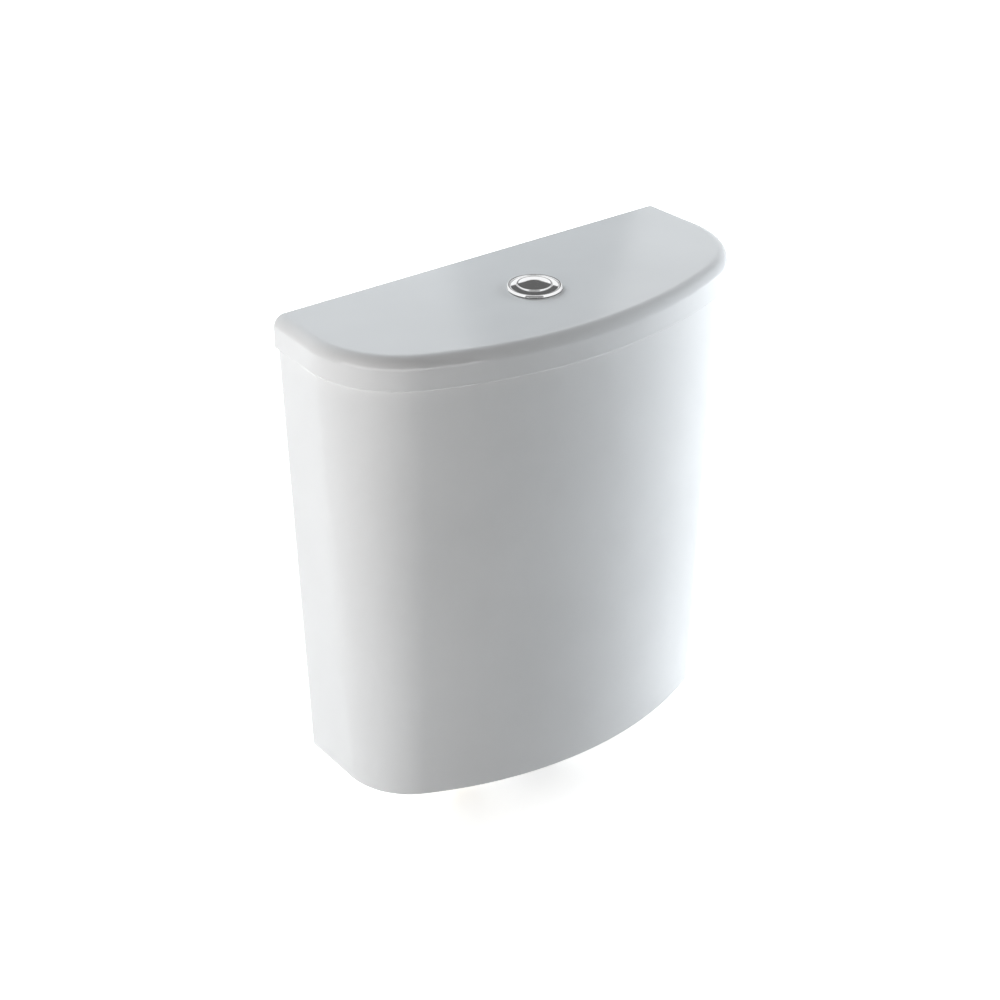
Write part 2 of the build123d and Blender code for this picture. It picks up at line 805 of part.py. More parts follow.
def make_tank_nut():
    top = foot_z - bolt_washer_thickness
    nut = hexagon(tank_nut_flats, top - tank_nut_height, top)
    return nut - bore(bolt_thread_radius + seat_clearance, top - tank_nut_height, top)


def make_wing_nut():
    top = -pan_washer_drop - pan_washer_thickness - bolt_washer_thickness
    bottom = top - wing_nut_height
    nut = disc(wing_hub_radius, bottom, top)
    middle = (top + bottom) / 2
    for side in (-1, 1):
        wing = cross_pin(wing_radius, side * wing_offset, middle, -wing_thickness / 2, wing_thickness / 2)
        wing += block(*sorted((0, side * wing_offset)), -wing_thickness / 2, wing_thickness / 2,
                      middle - wing_radius / 2, middle + wing_radius / 2)
        nut += wing & block(-2 * wing_offset, 2 * wing_offset, -wing_thickness, wing_thickness, bottom, top)
    return nut - bore(bolt_thread_radius + seat_clearance, bottom, top)


def pair(shape):
    placed = [Pos(side * bolt_x, bolt_row_y, 0) * shape for side in (-1, 1)]
    return Compound(children=placed)


def make_pan_washer():
    inner = bolt_thread_radius + seat_clearance
    return ring(inner, bolt_washer_radius, pan_washer_z, -pan_washer_drop)


pan_washer_z = -pan_washer_drop - pan_washer_thickness
pieces["coupling_bolts"] = pair(make_bolt())
pieces["bolt_seals"] = pair(make_bolt_seal())
pieces["bolt_inner_washers"] = pair(make_steel_washer(floor_z + bolt_seal_thickness))
pieces["bolt_outer_washers"] = pair(make_steel_washer(foot_z - bolt_washer_thickness))
pieces["bolt_tank_nuts"] = pair(make_tank_nut())
pieces["pan_washers"] = pair(make_pan_washer())
pieces["pan_steel_washers"] = pair(make_steel_washer(pan_washer_z - bolt_washer_thickness))
pieces["wing_nuts"] = pair(make_wing_nut())


# Fill valve, modelled on its own axis and then placed at the inlet
inlet = Pos(inlet_x, inlet_y, 0)
shank_flange_z = floor_z + tail_washer_thickness
valve_head_z = rim_z - valve_head_drop
valve_top_z = valve_head_z + valve_head_length
cap_top_z = valve_top_z + cap_height
arm_z = cap_top_z + float_arm_rise


def make_shank():
    relief_top = foot_z - tail_nut_height
    relief_bottom = relief_top - tail_relief_height
    shank = disc(tail_radius, -tail_drop, shank_flange_z)
    shank = chamfer(edges_at(shank, -tail_drop), tail_chamfer)
    shank -= ring(tail_relief_radius, tail_radius + cut_overrun, relief_bottom, relief_top)
    shank += disc(shank_flange_radius, shank_flange_z, shank_flange_z + shank_flange_thickness)
    shank += disc(shank_radius, shank_flange_z, valve_head_z + head_skirt_depth)
    return shank - bore(tail_bore_radius, -tail_drop, valve_head_z + head_skirt_depth)


def make_tail_nut():
    bottom = foot_z - tail_nut_height
    nut = hexagon(tail_nut_flats, bottom, foot_z)
    nut += disc(tail_nut_flange, foot_z - tail_nut_flange_height, foot_z)
    return nut - bore(tail_radius + seat_clearance, bottom, foot_z)


def make_filter():
    bottom = -tail_drop - filter_rim_height
    basket = ring(filter_radius - filter_wall, filter_radius, -tail_drop, -tail_drop + filter_length)
    basket += disc(filter_radius, -tail_drop + filter_length - filter_wall, -tail_drop + filter_length)
    slot = block(0, filter_radius + filter_wall, -filter_slot_width / 2, filter_slot_width / 2,
                 -tail_drop + filter_rim_height, -tail_drop + filter_length - 2 * filter_wall)
    for copy in around(filter_slots, slot):
        basket -= copy
    rim = ring(filter_radius - filter_wall, tail_bore_radius + filter_wall, bottom, -tail_drop)
    return basket + rim


def make_valve_head():
    spout_top = valve_head_z + spout_height
    skirt_top = valve_head_z + head_skirt_depth
    chamber_top = valve_top_z - diaphragm_thickness
    aside = Pos(-silencer_offset, 0, 0)
    head = disc(valve_head_radius, valve_head_z, valve_top_z)
    head += aside * disc(spout_radius, valve_head_z, spout_top)
    head += block(-silencer_offset, 0, -spout_radius, spout_radius, valve_head_z, spout_top)
    head -= disc(shank_radius + seat_clearance, valve_head_z - cut_overrun, skirt_top)
    head -= disc(chamber_radius, chamber_top - chamber_depth, valve_top_z)
    head -= disc(diaphragm_radius + seat_clearance, chamber_top, valve_top_z + cut_overrun)
    socket_top = valve_head_z + silencer_socket_depth
    head -= aside * disc(silencer_radius + seat_clearance, valve_head_z - cut_overrun, socket_top)
    return head - disc(tail_bore_radius, valve_head_z, valve_top_z)


def make_cap():
    pivot_x = float_pivot_offset
    near = arm_width / 2 + arm_ear_gap
    cap = disc(cap_radius, valve_top_z, cap_top_z)
    cap = fillet(edges_at(cap, cap_top_z), cap_rib_radius)
    rib = Pos(cap_radius, 0, 0) * disc(cap_rib_radius, valve_top_z, cap_top_z - cap_rib_radius)
    for copy in around(cap_rib_count, rib):
        cap += copy
    for hand in (-1, 1):
        low, high = sorted((hand * near, hand * (near + arm_ear_thickness)))
        cap += block(pivot_x - arm_boss_radius, pivot_x + arm_boss_radius, low, high,
                     cap_top_z - cap_rib_radius, arm_z)
        cap += cross_pin(arm_boss_radius, pivot_x, arm_z, low, high)
    reach = near + arm_ear_thickness + cut_overrun
    cap -= cross_pin(arm_pin_radius + running_clearance, pivot_x, arm_z, -reach, reach)
    post_top = arm_z - arm_height / 2 - pilot_seal_height - pilot_gap
    cap += Pos(pivot_x - pilot_offset, 0, 0) * disc(pilot_post_radius, cap_top_z - cap_rib_radius, post_top)
    return cap


# The float arm is drawn level and then turned down by the float's travel, because the float hangs at rest
arm_reach = float_reach - float_pivot_offset
arm_swing_deg = math.degrees(float_travel / arm_reach)
hang = Pos(float_pivot_offset, 0, arm_z) * Rot(0, arm_swing_deg, 0) * Pos(-float_pivot_offset, 0, -arm_z)
link_x = float_pivot_offset + arm_reach * (1 + math.cos(math.radians(arm_swing_deg))) / 2


def make_float_arm():
    half = arm_width / 2
    low = arm_z - arm_height / 2
    high = arm_z + arm_height / 2
    arm_start = float_pivot_offset - pilot_offset - pilot_post_radius
    arm = block(arm_start, float_reach + arm_tip, -half, half, low, high)
    arm += cross_pin(arm_boss_radius, float_pivot_offset, arm_z, -half, half)
    reach = half + cut_overrun
    arm -= cross_pin(arm_pin_radius + running_clearance, float_pivot_offset, arm_z, -reach, reach)
    slot = SlotOverall(arm_slot_length, arm_slot_width)
    arm -= Pos(float_reach, 0, low - cut_overrun) * extrude(slot, arm_height + 2 * cut_overrun)
    return arm


def make_pilot_seal():
    top = arm_z - arm_height / 2
    seal = disc(pilot_seal_radius, top - pilot_seal_height, top)
    return Pos(float_pivot_offset - pilot_offset, 0, 0) * seal


def make_arm_pin():
    reach = arm_width / 2 + arm_ear_gap + arm_ear_thickness
    pin = cross_pin(arm_pin_radius, float_pivot_offset, arm_z, -reach, reach)
    for hand in (-1, 1):
        low, high = sorted((hand * reach, hand * (reach + arm_pin_head_height)))
        pin += cross_pin(arm_pin_head_radius, float_pivot_offset, arm_z, low, high)
    return pin


arm_end_z = arm_z - float_travel
cup_top_z = valve_head_z - cup_drop + cup_height


def make_float_cup():
    cup_bottom = cup_top_z - cup_height
    slider_top = cup_top_z - slider_gap
    slider_bottom = slider_top - slider_height
    slider_inner = shank_radius + sliding_clearance
    cup = disc(cup_radius, cup_bottom, cup_top_z)
    cup = Pos(link_x, 0, 0) * fillet(edges_at(cup, cup_top_z), float_fillet)
    cup += disc(slider_inner + slider_wall, slider_bottom, slider_top)
    cup += block(0, link_x, -cup_wall, cup_wall, slider_bottom, slider_top)
    hollow = disc(cup_radius - cup_wall, cup_bottom - cut_overrun, cup_top_z - cup_wall)
    cup -= Pos(link_x, 0, 0) * hollow
    return cup - bore(slider_inner, cup_bottom, cup_top_z)


def make_link_rod():
    collar_top = arm_end_z - arm_height / 2 - arm_play
    rod = disc(link_rod_radius, cup_top_z, arm_end_z + link_rod_top)
    rod += disc(link_collar_radius, cup_top_z, cup_top_z + link_collar_height)
    rod += disc(link_collar_radius, collar_top - link_collar_height, collar_top)
    return Pos(link_x, 0, 0) * rod


def make_level_adjuster():
    bottom = arm_end_z + arm_height / 2 + arm_play
    top = bottom + 2 * link_collar_height
    return Pos(link_x, 0, 0) * ring(link_rod_radius + seat_clearance, link_collar_radius, bottom, top)


def make_silencer():
    bottom = floor_z + silencer_foot_gap
    top = valve_head_z + silencer_socket_depth
    return Pos(-silencer_offset, 0, 0) * ring(silencer_radius - silencer_wall, silencer_radius, bottom, top)


def make_tail_washer():
    return ring(tail_radius + seat_clearance, shank_flange_radius, floor_z, shank_flange_z)


pieces["fill_valve_shank"] = inlet * make_shank()
pieces["tail_washer"] = inlet * make_tail_washer()
pieces["tail_backnut"] = inlet * make_tail_nut()
pieces["inlet_filter"] = inlet * make_filter()
pieces["fill_valve_head"] = inlet * make_valve_head()
diaphragm_z = valve_top_z - diaphragm_thickness
pieces["fill_valve_diaphragm"] = inlet * disc(diaphragm_radius, diaphragm_z, valve_top_z)
pieces["fill_valve_cap"] = inlet * make_cap()
pieces["silencer_tube"] = inlet * make_silencer()
pieces["float_arm"] = inlet * hang * make_float_arm()
pieces["pilot_seal"] = inlet * hang * make_pilot_seal()
pieces["float_arm_pin"] = inlet * make_arm_pin()
pieces["float_cup"] = inlet * make_float_cup()
pieces["float_link_rod"] = inlet * make_link_rod()
pieces["level_adjuster"] = inlet * make_level_adjuster()

os.makedirs("parts", exist_ok=True)
for name, shape in pieces.items():
    export_step(shape, "parts/" + name + ".step")
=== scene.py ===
import bpy
import json
import math
from mathutils import Matrix, Vector


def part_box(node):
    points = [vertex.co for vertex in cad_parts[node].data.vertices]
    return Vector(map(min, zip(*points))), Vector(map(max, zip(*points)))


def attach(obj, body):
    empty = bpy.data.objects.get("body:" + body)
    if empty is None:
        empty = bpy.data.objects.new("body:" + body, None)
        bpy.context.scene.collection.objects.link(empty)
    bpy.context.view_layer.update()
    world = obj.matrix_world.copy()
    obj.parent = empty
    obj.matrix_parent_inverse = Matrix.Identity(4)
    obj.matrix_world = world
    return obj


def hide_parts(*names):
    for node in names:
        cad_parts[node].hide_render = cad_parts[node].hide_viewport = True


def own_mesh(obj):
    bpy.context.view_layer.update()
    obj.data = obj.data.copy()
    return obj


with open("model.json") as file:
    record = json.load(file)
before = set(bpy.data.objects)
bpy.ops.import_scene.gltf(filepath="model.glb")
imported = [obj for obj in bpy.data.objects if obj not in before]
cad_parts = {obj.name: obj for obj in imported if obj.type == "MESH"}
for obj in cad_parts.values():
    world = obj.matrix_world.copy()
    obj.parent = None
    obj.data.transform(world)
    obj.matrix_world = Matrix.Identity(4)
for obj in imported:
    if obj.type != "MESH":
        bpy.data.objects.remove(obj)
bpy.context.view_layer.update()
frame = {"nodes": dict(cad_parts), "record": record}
nodes = frame["nodes"]
scene = bpy.context.scene


# Materials. Each one reads the piece's own coordinates, so its pattern stays on the piece.
class Finish:
    """A material with its shader, and short ways to add nodes to it."""

    def __init__(self, name, colour, roughness, **values):
        self.material = bpy.data.materials.new(name)
        self.material.use_nodes = True
        self.tree = self.material.node_tree
        self.shader = self.tree.nodes["Principled BSDF"]
        self.shader.inputs["Base Color"].default_value = (*colour, 1)
        self.shader.inputs["Roughness"].default_value = roughness
        for key, value in values.items():
            self.shader.inputs[key.replace("_", " ").title()].default_value = value
        self.place = self.tree.nodes.new("ShaderNodeTexCoord").outputs["Object"]

    def node(self, kind, **values):
        made = self.tree.nodes.new("ShaderNode" + kind)
        for key, value in values.items():
            setattr(made, key, value)
        return made

    def link(self, start, end):
        self.tree.links.new(start, end)

    def mapped(self, stretch):
        mapping = self.node("Mapping")
        mapping.inputs["Scale"].default_value = stretch
        self.link(self.place, mapping.inputs["Vector"])
        return mapping.outputs["Vector"]

    def noise(self, scale, detail=2.0, stretch=(1, 1, 1)):
        noise = self.node("TexNoise")
        noise.inputs["Scale"].default_value = scale
        noise.inputs["Detail"].default_value = detail
        self.link(self.mapped(stretch), noise.inputs["Vector"])
        return noise.outputs["Fac"]

    def graded(self, value, low, high, start, end):
        """Turns a value between start and end into one between low and high."""
        span = self.node("MapRange")
        span.inputs["From Min"].default_value = start
        span.inputs["From Max"].default_value = end
        span.inputs["To Min"].default_value = low
        span.inputs["To Max"].default_value = high
        self.link(value, span.inputs["Value"])
        return span.outputs["Result"]

    def blended(self, share, first, second):
        mix = self.node("Mix", data_type="RGBA")
        for socket, colour in ((mix.inputs[6], first), (mix.inputs[7], second)):
            if isinstance(colour, tuple):
                socket.default_value = (*colour, 1)
            else:
                self.link(colour, socket)
        self.link(share, mix.inputs[0])
        return mix.outputs[2]

    def facing_down(self, start, end):
        """Goes from 0 to 1 on faces that look down, which stood in the kiln without glaze."""
        split = self.node("SeparateXYZ")
        self.link(self.node("NewGeometry").outputs["Normal"], split.inputs["Vector"])
        return self.graded(split.outputs["Z"], 0, 1, start, end)

    def mixed(self, share, first, second):
        mix = self.node("Mix", data_type="FLOAT")
        for socket, value in ((mix.inputs[2], first), (mix.inputs[3], second)):
            if isinstance(value, float):
                socket.default_value = value
            else:
                self.link(value, socket)
        self.link(share, mix.inputs[0])
        return mix.outputs[0]

    def colour(self, value):
        self.link(value, self.shader.inputs["Base Color"])

    def rough(self, value):
        self.link(value, self.shader.inputs["Roughness"])

    def bump(self, value, strength, distance):
        bump = self.node("Bump")
        bump.inputs["Strength"].default_value = strength
        bump.inputs["Distance"].default_value = distance
        self.link(value, bump.inputs["Height"])
        self.link(bump.outputs["Normal"], self.shader.inputs["Normal"])


def glaze(name):
    finish = Finish(name, (0.80, 0.81, 0.82), 0.10)
    finish.shader.inputs["Specular IOR Level"].default_value = 0.4
    cloud = finish.noise(9.0, 3.0)
    tone = finish.blended(finish.graded(cloud, 0, 1, 0.35, 0.65), (0.79, 0.80, 0.81), (0.82, 0.83, 0.84))
    downward = finish.facing_down(-0.8, -0.95)
    speckle = finish.graded(finish.noise(240.0, 4.0), 0, 1, 0.35, 0.7)
    clay = finish.blended(speckle, (0.60, 0.56, 0.49), (0.70, 0.67, 0.60))
    finish.colour(finish.blended(downward, tone, clay))
    shine = finish.graded(finish.noise(60.0), 0.09, 0.14, 0.3, 0.7)
    finish.rough(finish.mixed(downward, shine, 0.75))
    finish.bump(finish.noise(70.0, 1.0), 0.05, 0.0002)
    return finish.material


def chrome(name):
    finish = Finish(name, (0.93, 0.935, 0.94), 0.04, metallic=1.0)
    finish.rough(finish.graded(finish.noise(220.0, 4.0), 0.025, 0.06, 0.35, 0.7))
    finish.bump(finish.noise(900.0, 1.0), 0.01, 0.00002)
    return finish.material


def plastic(name, colour, roughness=0.38):
    finish = Finish(name, colour, roughness)
    darker = tuple(part * 0.88 for part in colour)
    finish.colour(finish.blended(finish.graded(finish.noise(40.0, 3.0), 0, 1, 0.3, 0.7), darker, colour))
    finish.rough(finish.graded(finish.noise(300.0, 2.0), roughness - 0.06, roughness + 0.08, 0.3, 0.7))
    finish.bump(finish.noise(2200.0, 1.0), 0.12, 0.0001)
    return finish.material


def rubber(name, colour, roughness=0.7):
    finish = Finish(name, colour, roughness)
    paler = tuple(min(1, part * 1.5 + 0.01) for part in colour)
    finish.colour(finish.blended(finish.graded(finish.noise(180.0, 4.0), 0, 1, 0.4, 0.8), colour, paler))
    finish.rough(finish.graded(finish.noise(400.0), roughness - 0.1, roughness + 0.1, 0.3, 0.7))
    finish.bump(finish.noise(1800.0, 2.0), 0.25, 0.0001)
    return finish.material


def metal(name, colour, roughness, stretch):
    finish = Finish(name, colour, roughness, metallic=1.0)
    grain = finish.noise(500.0, 3.0, stretch)
    finish.rough(finish.graded(grain, roughness - 0.08, roughness + 0.12, 0.3, 0.7))
    finish.bump(finish.noise(900.0, 2.0, stretch), 0.08, 0.00005)
    return finish.material


looks = {
    "white_glaze": glaze("white_glaze"),
    "chrome_plate": chrome("chrome_plate"),
    "white_plastic": plastic("white_plastic", (0.78, 0.78, 0.76)),
    "grey_plastic": plastic("grey_plastic", (0.26, 0.28, 0.30)),
    "blue_plastic": plastic("blue_plastic", (0.06, 0.20, 0.45)),
    "black_rubber": rubber("black_rubber", (0.02, 0.02, 0.02)),
    "seal_silicone": rubber("seal_silicone", (0.50, 0.12, 0.08), 0.5),
    "stainless_steel": metal("stainless_steel", (0.62, 0.61, 0.59), 0.28, (1, 1, 0.1)),
    "wing_brass": metal("wing_brass", (0.76, 0.58, 0.26), 0.32, (1, 1, 1)),
}
slot_of = {part["node"]: part["material_slot"] for part in frame["record"]["subparts"]}
for name, node in nodes.items():
    node.data.materials.clear()
    node.data.materials.append(looks[slot_of[name]])


# Sizes and places that several pieces share
mm = 0.001
weld = 0.002 * mm
near_axis = 0.01 * mm
clock = math.radians(53.0)


def clocked(distance):
    """A place in plan on the line through the two buttons' stems."""
    return distance * math.cos(clock), distance * math.sin(clock)


stem_offset = 13.5 * mm
small_cap_offset = 4.6 * mm
cap_thickness = 3 * mm
flange_level = 27 * mm
flange_top = 31 * mm
inlet = (112 * mm, 25 * mm)
spout_axis = (inlet[0] - 22 * mm, inlet[1])
bolt_axes = [(side * 75 * mm, 10 * mm) for side in (-1, 1)]
pivot = (33.5 * mm, 336 * mm)
pin_bore = 2.05 * mm
valve_cap_level = 286 * mm


# Modelling: every piece starts from one point or ring, is drawn out, spun and finished
def select_none():
    bpy.ops.object.select_all(action="DESELECT")


def begin(name, place):
    select_none()
    bpy.ops.mesh.primitive_plane_add(size=mm, location=(0, 0, 0))
    piece = bpy.context.object
    piece.name = name
    bpy.ops.object.mode_set(mode="EDIT")
    bpy.ops.mesh.select_all(action="SELECT")
    bpy.ops.mesh.merge(type="CENTER")
    bpy.ops.transform.translate(value=place)
    return piece


def applied(piece, modifier):
    bpy.context.view_layer.objects.active = piece
    bpy.ops.object.modifier_apply(modifier=modifier.name)


def close_up(piece, body, nodes_replaced, angle=35.0):
    """Merges seams, turns faces outwards, gives the piece its body and finish, and hides the nodes it
    replaces.
    """
    bpy.ops.object.mode_set(mode="EDIT")
    bpy.ops.mesh.select_all(action="SELECT")
    bpy.ops.mesh.remove_doubles(threshold=weld)
    bpy.ops.mesh.normals_make_consistent(inside=False)
    bpy.ops.object.mode_set(mode="OBJECT")
    bpy.ops.object.transform_apply(location=True, rotation=True, scale=True)
    bpy.ops.object.shade_smooth_by_angle(angle=math.radians(angle))
    look = slot_of[nodes_replaced[0]]
    piece.data.materials.clear()
    piece.data.materials.append(looks[look])
    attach(piece, body)
    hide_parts(*nodes_replaced)
    return piece


def drawn(name, outline, axis=(0, 0)):
    """Draws a closed outline of (radius, height) points beside an axis, to be spun or wound."""
    radius, height = outline[0]
    piece = begin(name, (axis[0] + radius, axis[1], height))
    for next_radius, next_height in outline[1:] + outline[:1]:
        step = (next_radius - radius, 0, next_height - height)
        bpy.ops.mesh.extrude_region_move(TRANSFORM_OT_translate={"value": step})
        radius, height = next_radius, next_height
    bpy.ops.mesh.select_all(action="SELECT")
    bpy.ops.mesh.remove_doubles(threshold=weld)
    bpy.ops.mesh.select_all(action="SELECT")
    return piece


def spun(name, outline, axis=(0, 0), steps=64):
    """Draws a closed outline of (radius, height) points and spins it round an upright axis."""
    piece = drawn(name, outline, axis)
    bpy.ops.mesh.spin(steps=steps, angle=2 * math.pi, center=(*axis, 0), axis=(0, 0, 1))
    bpy.ops.mesh.select_all(action="SELECT")
    bpy.ops.mesh.remove_doubles(threshold=weld)
    bpy.ops.object.mode_set(mode="OBJECT")
    return piece


def helix(name, outline, axis, low, pitch, turns, steps=32):
    """Winds a small closed outline of (radius, height) points upwards round an axis."""
    piece = drawn(name, outline)
    bpy.ops.mesh.edge_face_add()
    bpy.ops.object.mode_set(mode="OBJECT")
    winding = piece.modifiers.new("winding", "SCREW")
    winding.screw_offset = pitch
    winding.iterations = turns
    winding.steps = steps
    winding.render_steps = steps
    winding.use_merge_vertices = False
    applied(piece, winding)
    piece.location = (*axis, low)
    select_none()
    piece.select_set(True)
    bpy.ops.object.transform_apply(location=True, rotation=False, scale=False)
    return piece


def ringed(name, loops, steps=96):
    """Draws one ring out of the next and closes the last on the first: (x, y, radius, height) each."""
    x, y, radius, height = loops[0]
    select_none()
    bpy.ops.mesh.primitive_circle_add(vertices=steps, radius=radius, location=(x, y, height))
    piece = bpy.context.object
    piece.name = name
    bpy.ops.object.mode_set(mode="EDIT")
    bpy.ops.mesh.select_all(action="SELECT")
    for next_x, next_y, next_radius, next_height in loops[1:] + loops[:1]:
        step = (next_x - x, next_y - y, next_height - height)
        bpy.ops.mesh.extrude_region_move(TRANSFORM_OT_translate={"value": step})
        scale = next_radius / radius
        bpy.ops.transform.resize(value=(scale, scale, 1), center_override=(next_x, next_y, next_height))
        x, y, radius, height = next_x, next_y, next_radius, next_height
    bpy.ops.object.mode_set(mode="OBJECT")
    bpy.ops.object.transform_apply(location=True, rotation=True, scale=True)
    return piece


def arc(centre, radius, start, end, steps):
    """Points of (radius, height) on a quarter or less of a circle, for a rounded edge in an outline."""
    points = []
    for step in range(steps + 1):
        turn = math.radians(start + (end - start) * step / steps)
        points.append((centre[0] + radius * math.cos(turn), centre[1] + radius * math.sin(turn)))
    return points


def softened(piece, width, segments=2, angle=30.0):
    bevel = piece.modifiers.new("soft_edges", "BEVEL")
    bevel.width = width
    bevel.segments = segments
    bevel.limit_method = "ANGLE"
    bevel.angle_limit = math.radians(angle)
    bevel.harden_normals = False
    applied(piece, bevel)


def evened(piece):
    """Lets the large faces set the shading at their edges, so that flats stay flat."""
    even = piece.modifiers.new("even_shading", "WEIGHTED_NORMAL")
    even.mode = "FACE_AREA"
    even.keep_sharp = True
    applied(piece, even)


def cut_by(piece, tool, operation="DIFFERENCE"):
    """Cuts a piece with a tool, or keeps what both share, and takes the tool away."""
    change = piece.modifiers.new("cut", "BOOLEAN")
    change.operation = operation
    change.object = tool
    applied(piece, change)
    bpy.data.objects.remove(tool)


def joined(main, *others):
    select_none()
    for piece in others:
        piece.select_set(True)
    main.select_set(True)
    bpy.context.view_layer.objects.active = main
    bpy.ops.object.join()
    return main


def copied(piece, turn, centre=(0, 0)):
    """A copy turned round an upright axis."""
    select_none()
    piece.select_set(True)
    bpy.context.view_layer.objects.active = piece
    bpy.ops.object.duplicate()
    twin = bpy.context.object
    twin.data.transform(Matrix.Translation((*centre, 0)) @ Matrix.Rotation(turn, 4, "Z")
                        @ Matrix.Translation((-centre[0], -centre[1], 0)))
    return twin


def around(piece, count, centre=(0, 0)):
    """The copies that make an even ring of a piece."""
    return [copied(piece, step * 2 * math.pi / count, centre) for step in range(1, count)]


def clock_turned(piece, angle=0.0):
    piece.data.transform(Matrix.Rotation(clock + angle, 4, "Z"))


def rib(name, low, high):
    """A block between two corners, its edges rounded over."""
    select_none()
    centre = [(a + b) / 2 for a, b in zip(low, high)]
    bpy.ops.mesh.primitive_cube_add(size=1, location=centre)
    piece = bpy.context.object
    piece.name = name
    piece.scale = [b - a for a, b in zip(low, high)]
    bpy.ops.object.transform_apply(location=True, rotation=True, scale=True)
    softened(piece, min(b - a for a, b in zip(low, high)) * 0.2)
    return piece


def slab(name, half_x, half_y, low, high, corner):
    """A flat block with round corners."""
    select_none()
    bpy.ops.mesh.primitive_plane_add(size=2, location=(0, 0, low))
    piece = bpy.context.object
    piece.name = name
    piece.scale = (half_x, half_y, 1)
    bpy.ops.object.transform_apply(location=True, rotation=True, scale=True)
    bpy.ops.object.mode_set(mode="EDIT")
    bpy.ops.mesh.select_all(action="SELECT")
    bpy.ops.mesh.bevel(offset=corner, segments=8, affect="VERTICES")
    bpy.ops.mesh.select_all(action="SELECT")
    bpy.ops.mesh.extrude_region_move(TRANSFORM_OT_translate={"value": (0, 0, high - low)})
    bpy.ops.mesh.select_all(action="SELECT")
    bpy.ops.mesh.normals_make_consistent(inside=False)
    bpy.ops.object.mode_set(mode="OBJECT")
    softened(piece, 0.5 * mm)
    return piece


def post(name, radius, low, high, x, y, steps=48):
    select_none()
    bpy.ops.mesh.primitive_cylinder_add(vertices=steps, radius=radius, depth=high - low,
                                        location=(x, y, (low + high) / 2))
    piece = bpy.context.object
    piece.name = name
    bpy.ops.object.transform_apply(location=True, rotation=True, scale=True)
    return piece


def cross_ring(name, bore, outer, x, z, low, high, steps=40):
    """A round boss lying along y between low and high."""
    edge = 0.3 * mm
    outline = [(bore, low), (outer - edge, low), (outer, low + edge), (outer, high - edge),
               (outer - edge, high), (bore, high)]
    piece = spun(name, outline, (0, 0), steps)
    piece.data.transform(Matrix.Translation((x, 0, z)) @ Matrix.Rotation(math.pi / 2, 4, "X"))
    return piece


def thread(name, axis, low, high, crest, pitch, depth, steps=24):
    """A screw thread's ridge, with a flat crest, from low to high."""
    foot = crest - depth - depth * 0.3
    outline = [(foot, -pitch * 0.42), (crest, -pitch * 0.1), (crest, pitch * 0.1), (foot, pitch * 0.42)]
    turns = max(1, int((high - low - pitch) / pitch))
    return helix(name, outline, axis, low + pitch * 0.5, pitch, turns, steps)


# Glazed ware: the tank and the lid, with clean shading where a flat meets a rounded edge
def make_ware(name, node, body):
    select_none()
    piece = bpy.data.objects.new(name, nodes[node].data.copy())
    scene.collection.objects.link(piece)
    piece.select_set(True)
    bpy.context.view_layer.objects.active = piece
    bpy.ops.mesh.customdata_custom_splitnormals_clear()
    close_up(piece, body, [node], 30.0)
    evened(piece)


make_ware("glazed_tank", "tank", "cistern")
make_ware("glazed_lid", "lid", "lid")


# Push button: a low ring with a long threaded sleeve, and two dished caps
def make_ring():
    low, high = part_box("button_bezel")
    bore, outer, crest, root = 19.4 * mm, high.x, 20.5 * mm, 20.1 * mm
    under = 410.4 * mm
    foot, edge, rim, lip = 0.5 * mm, 0.15 * mm, 1.1 * mm, 0.35 * mm
    outline = [(bore, low.z + 0.6 * mm), (bore + foot, low.z), (root - foot, low.z), (root, low.z + foot),
               (root, under), (outer - edge, under), (outer, under + edge), (outer, under + 2 * edge),
               (outer - 0.6 * mm, high.z - 0.45 * mm), (outer - 0.7 * mm, high.z - 0.24 * mm),
               (outer - 0.88 * mm, high.z - 0.08 * mm), (outer - rim, high.z)]
    outline += arc((bore + lip, high.z - lip), lip, 90, 180, 6)
    ring = spun("chromed_ring", outline, (0, 0), 128)
    screw = thread("sleeve_thread", (0, 0), low.z + 0.8 * mm, low.z + 17 * mm, crest, 1.5 * mm, 0.5 * mm, 64)
    joined(ring, screw)
    close_up(ring, "lid", ["button_bezel"], 40.0)
    evened(ring)


def sag(distance, radius, depth):
    """How far a round dish lies under its rim."""
    if distance >= radius:
        return 0.0
    ball = (radius ** 2 + depth ** 2) / (2 * depth)
    return depth - ball + math.sqrt(ball ** 2 - distance ** 2)


def stem(name, side, low, top):
    """A button's stem, bored from below for its push rod."""
    outer, bore, edge, bore_top = 3 * mm, 2.05 * mm, 0.3 * mm, low + 18 * mm
    outline = [(bore, low + edge), (bore + edge, low), (outer - edge, low), (outer, low + edge), (outer, top),
               (near_axis, top), (near_axis, bore_top), (bore, bore_top)]
    return spun(name, outline, clocked(side * stem_offset), 32)


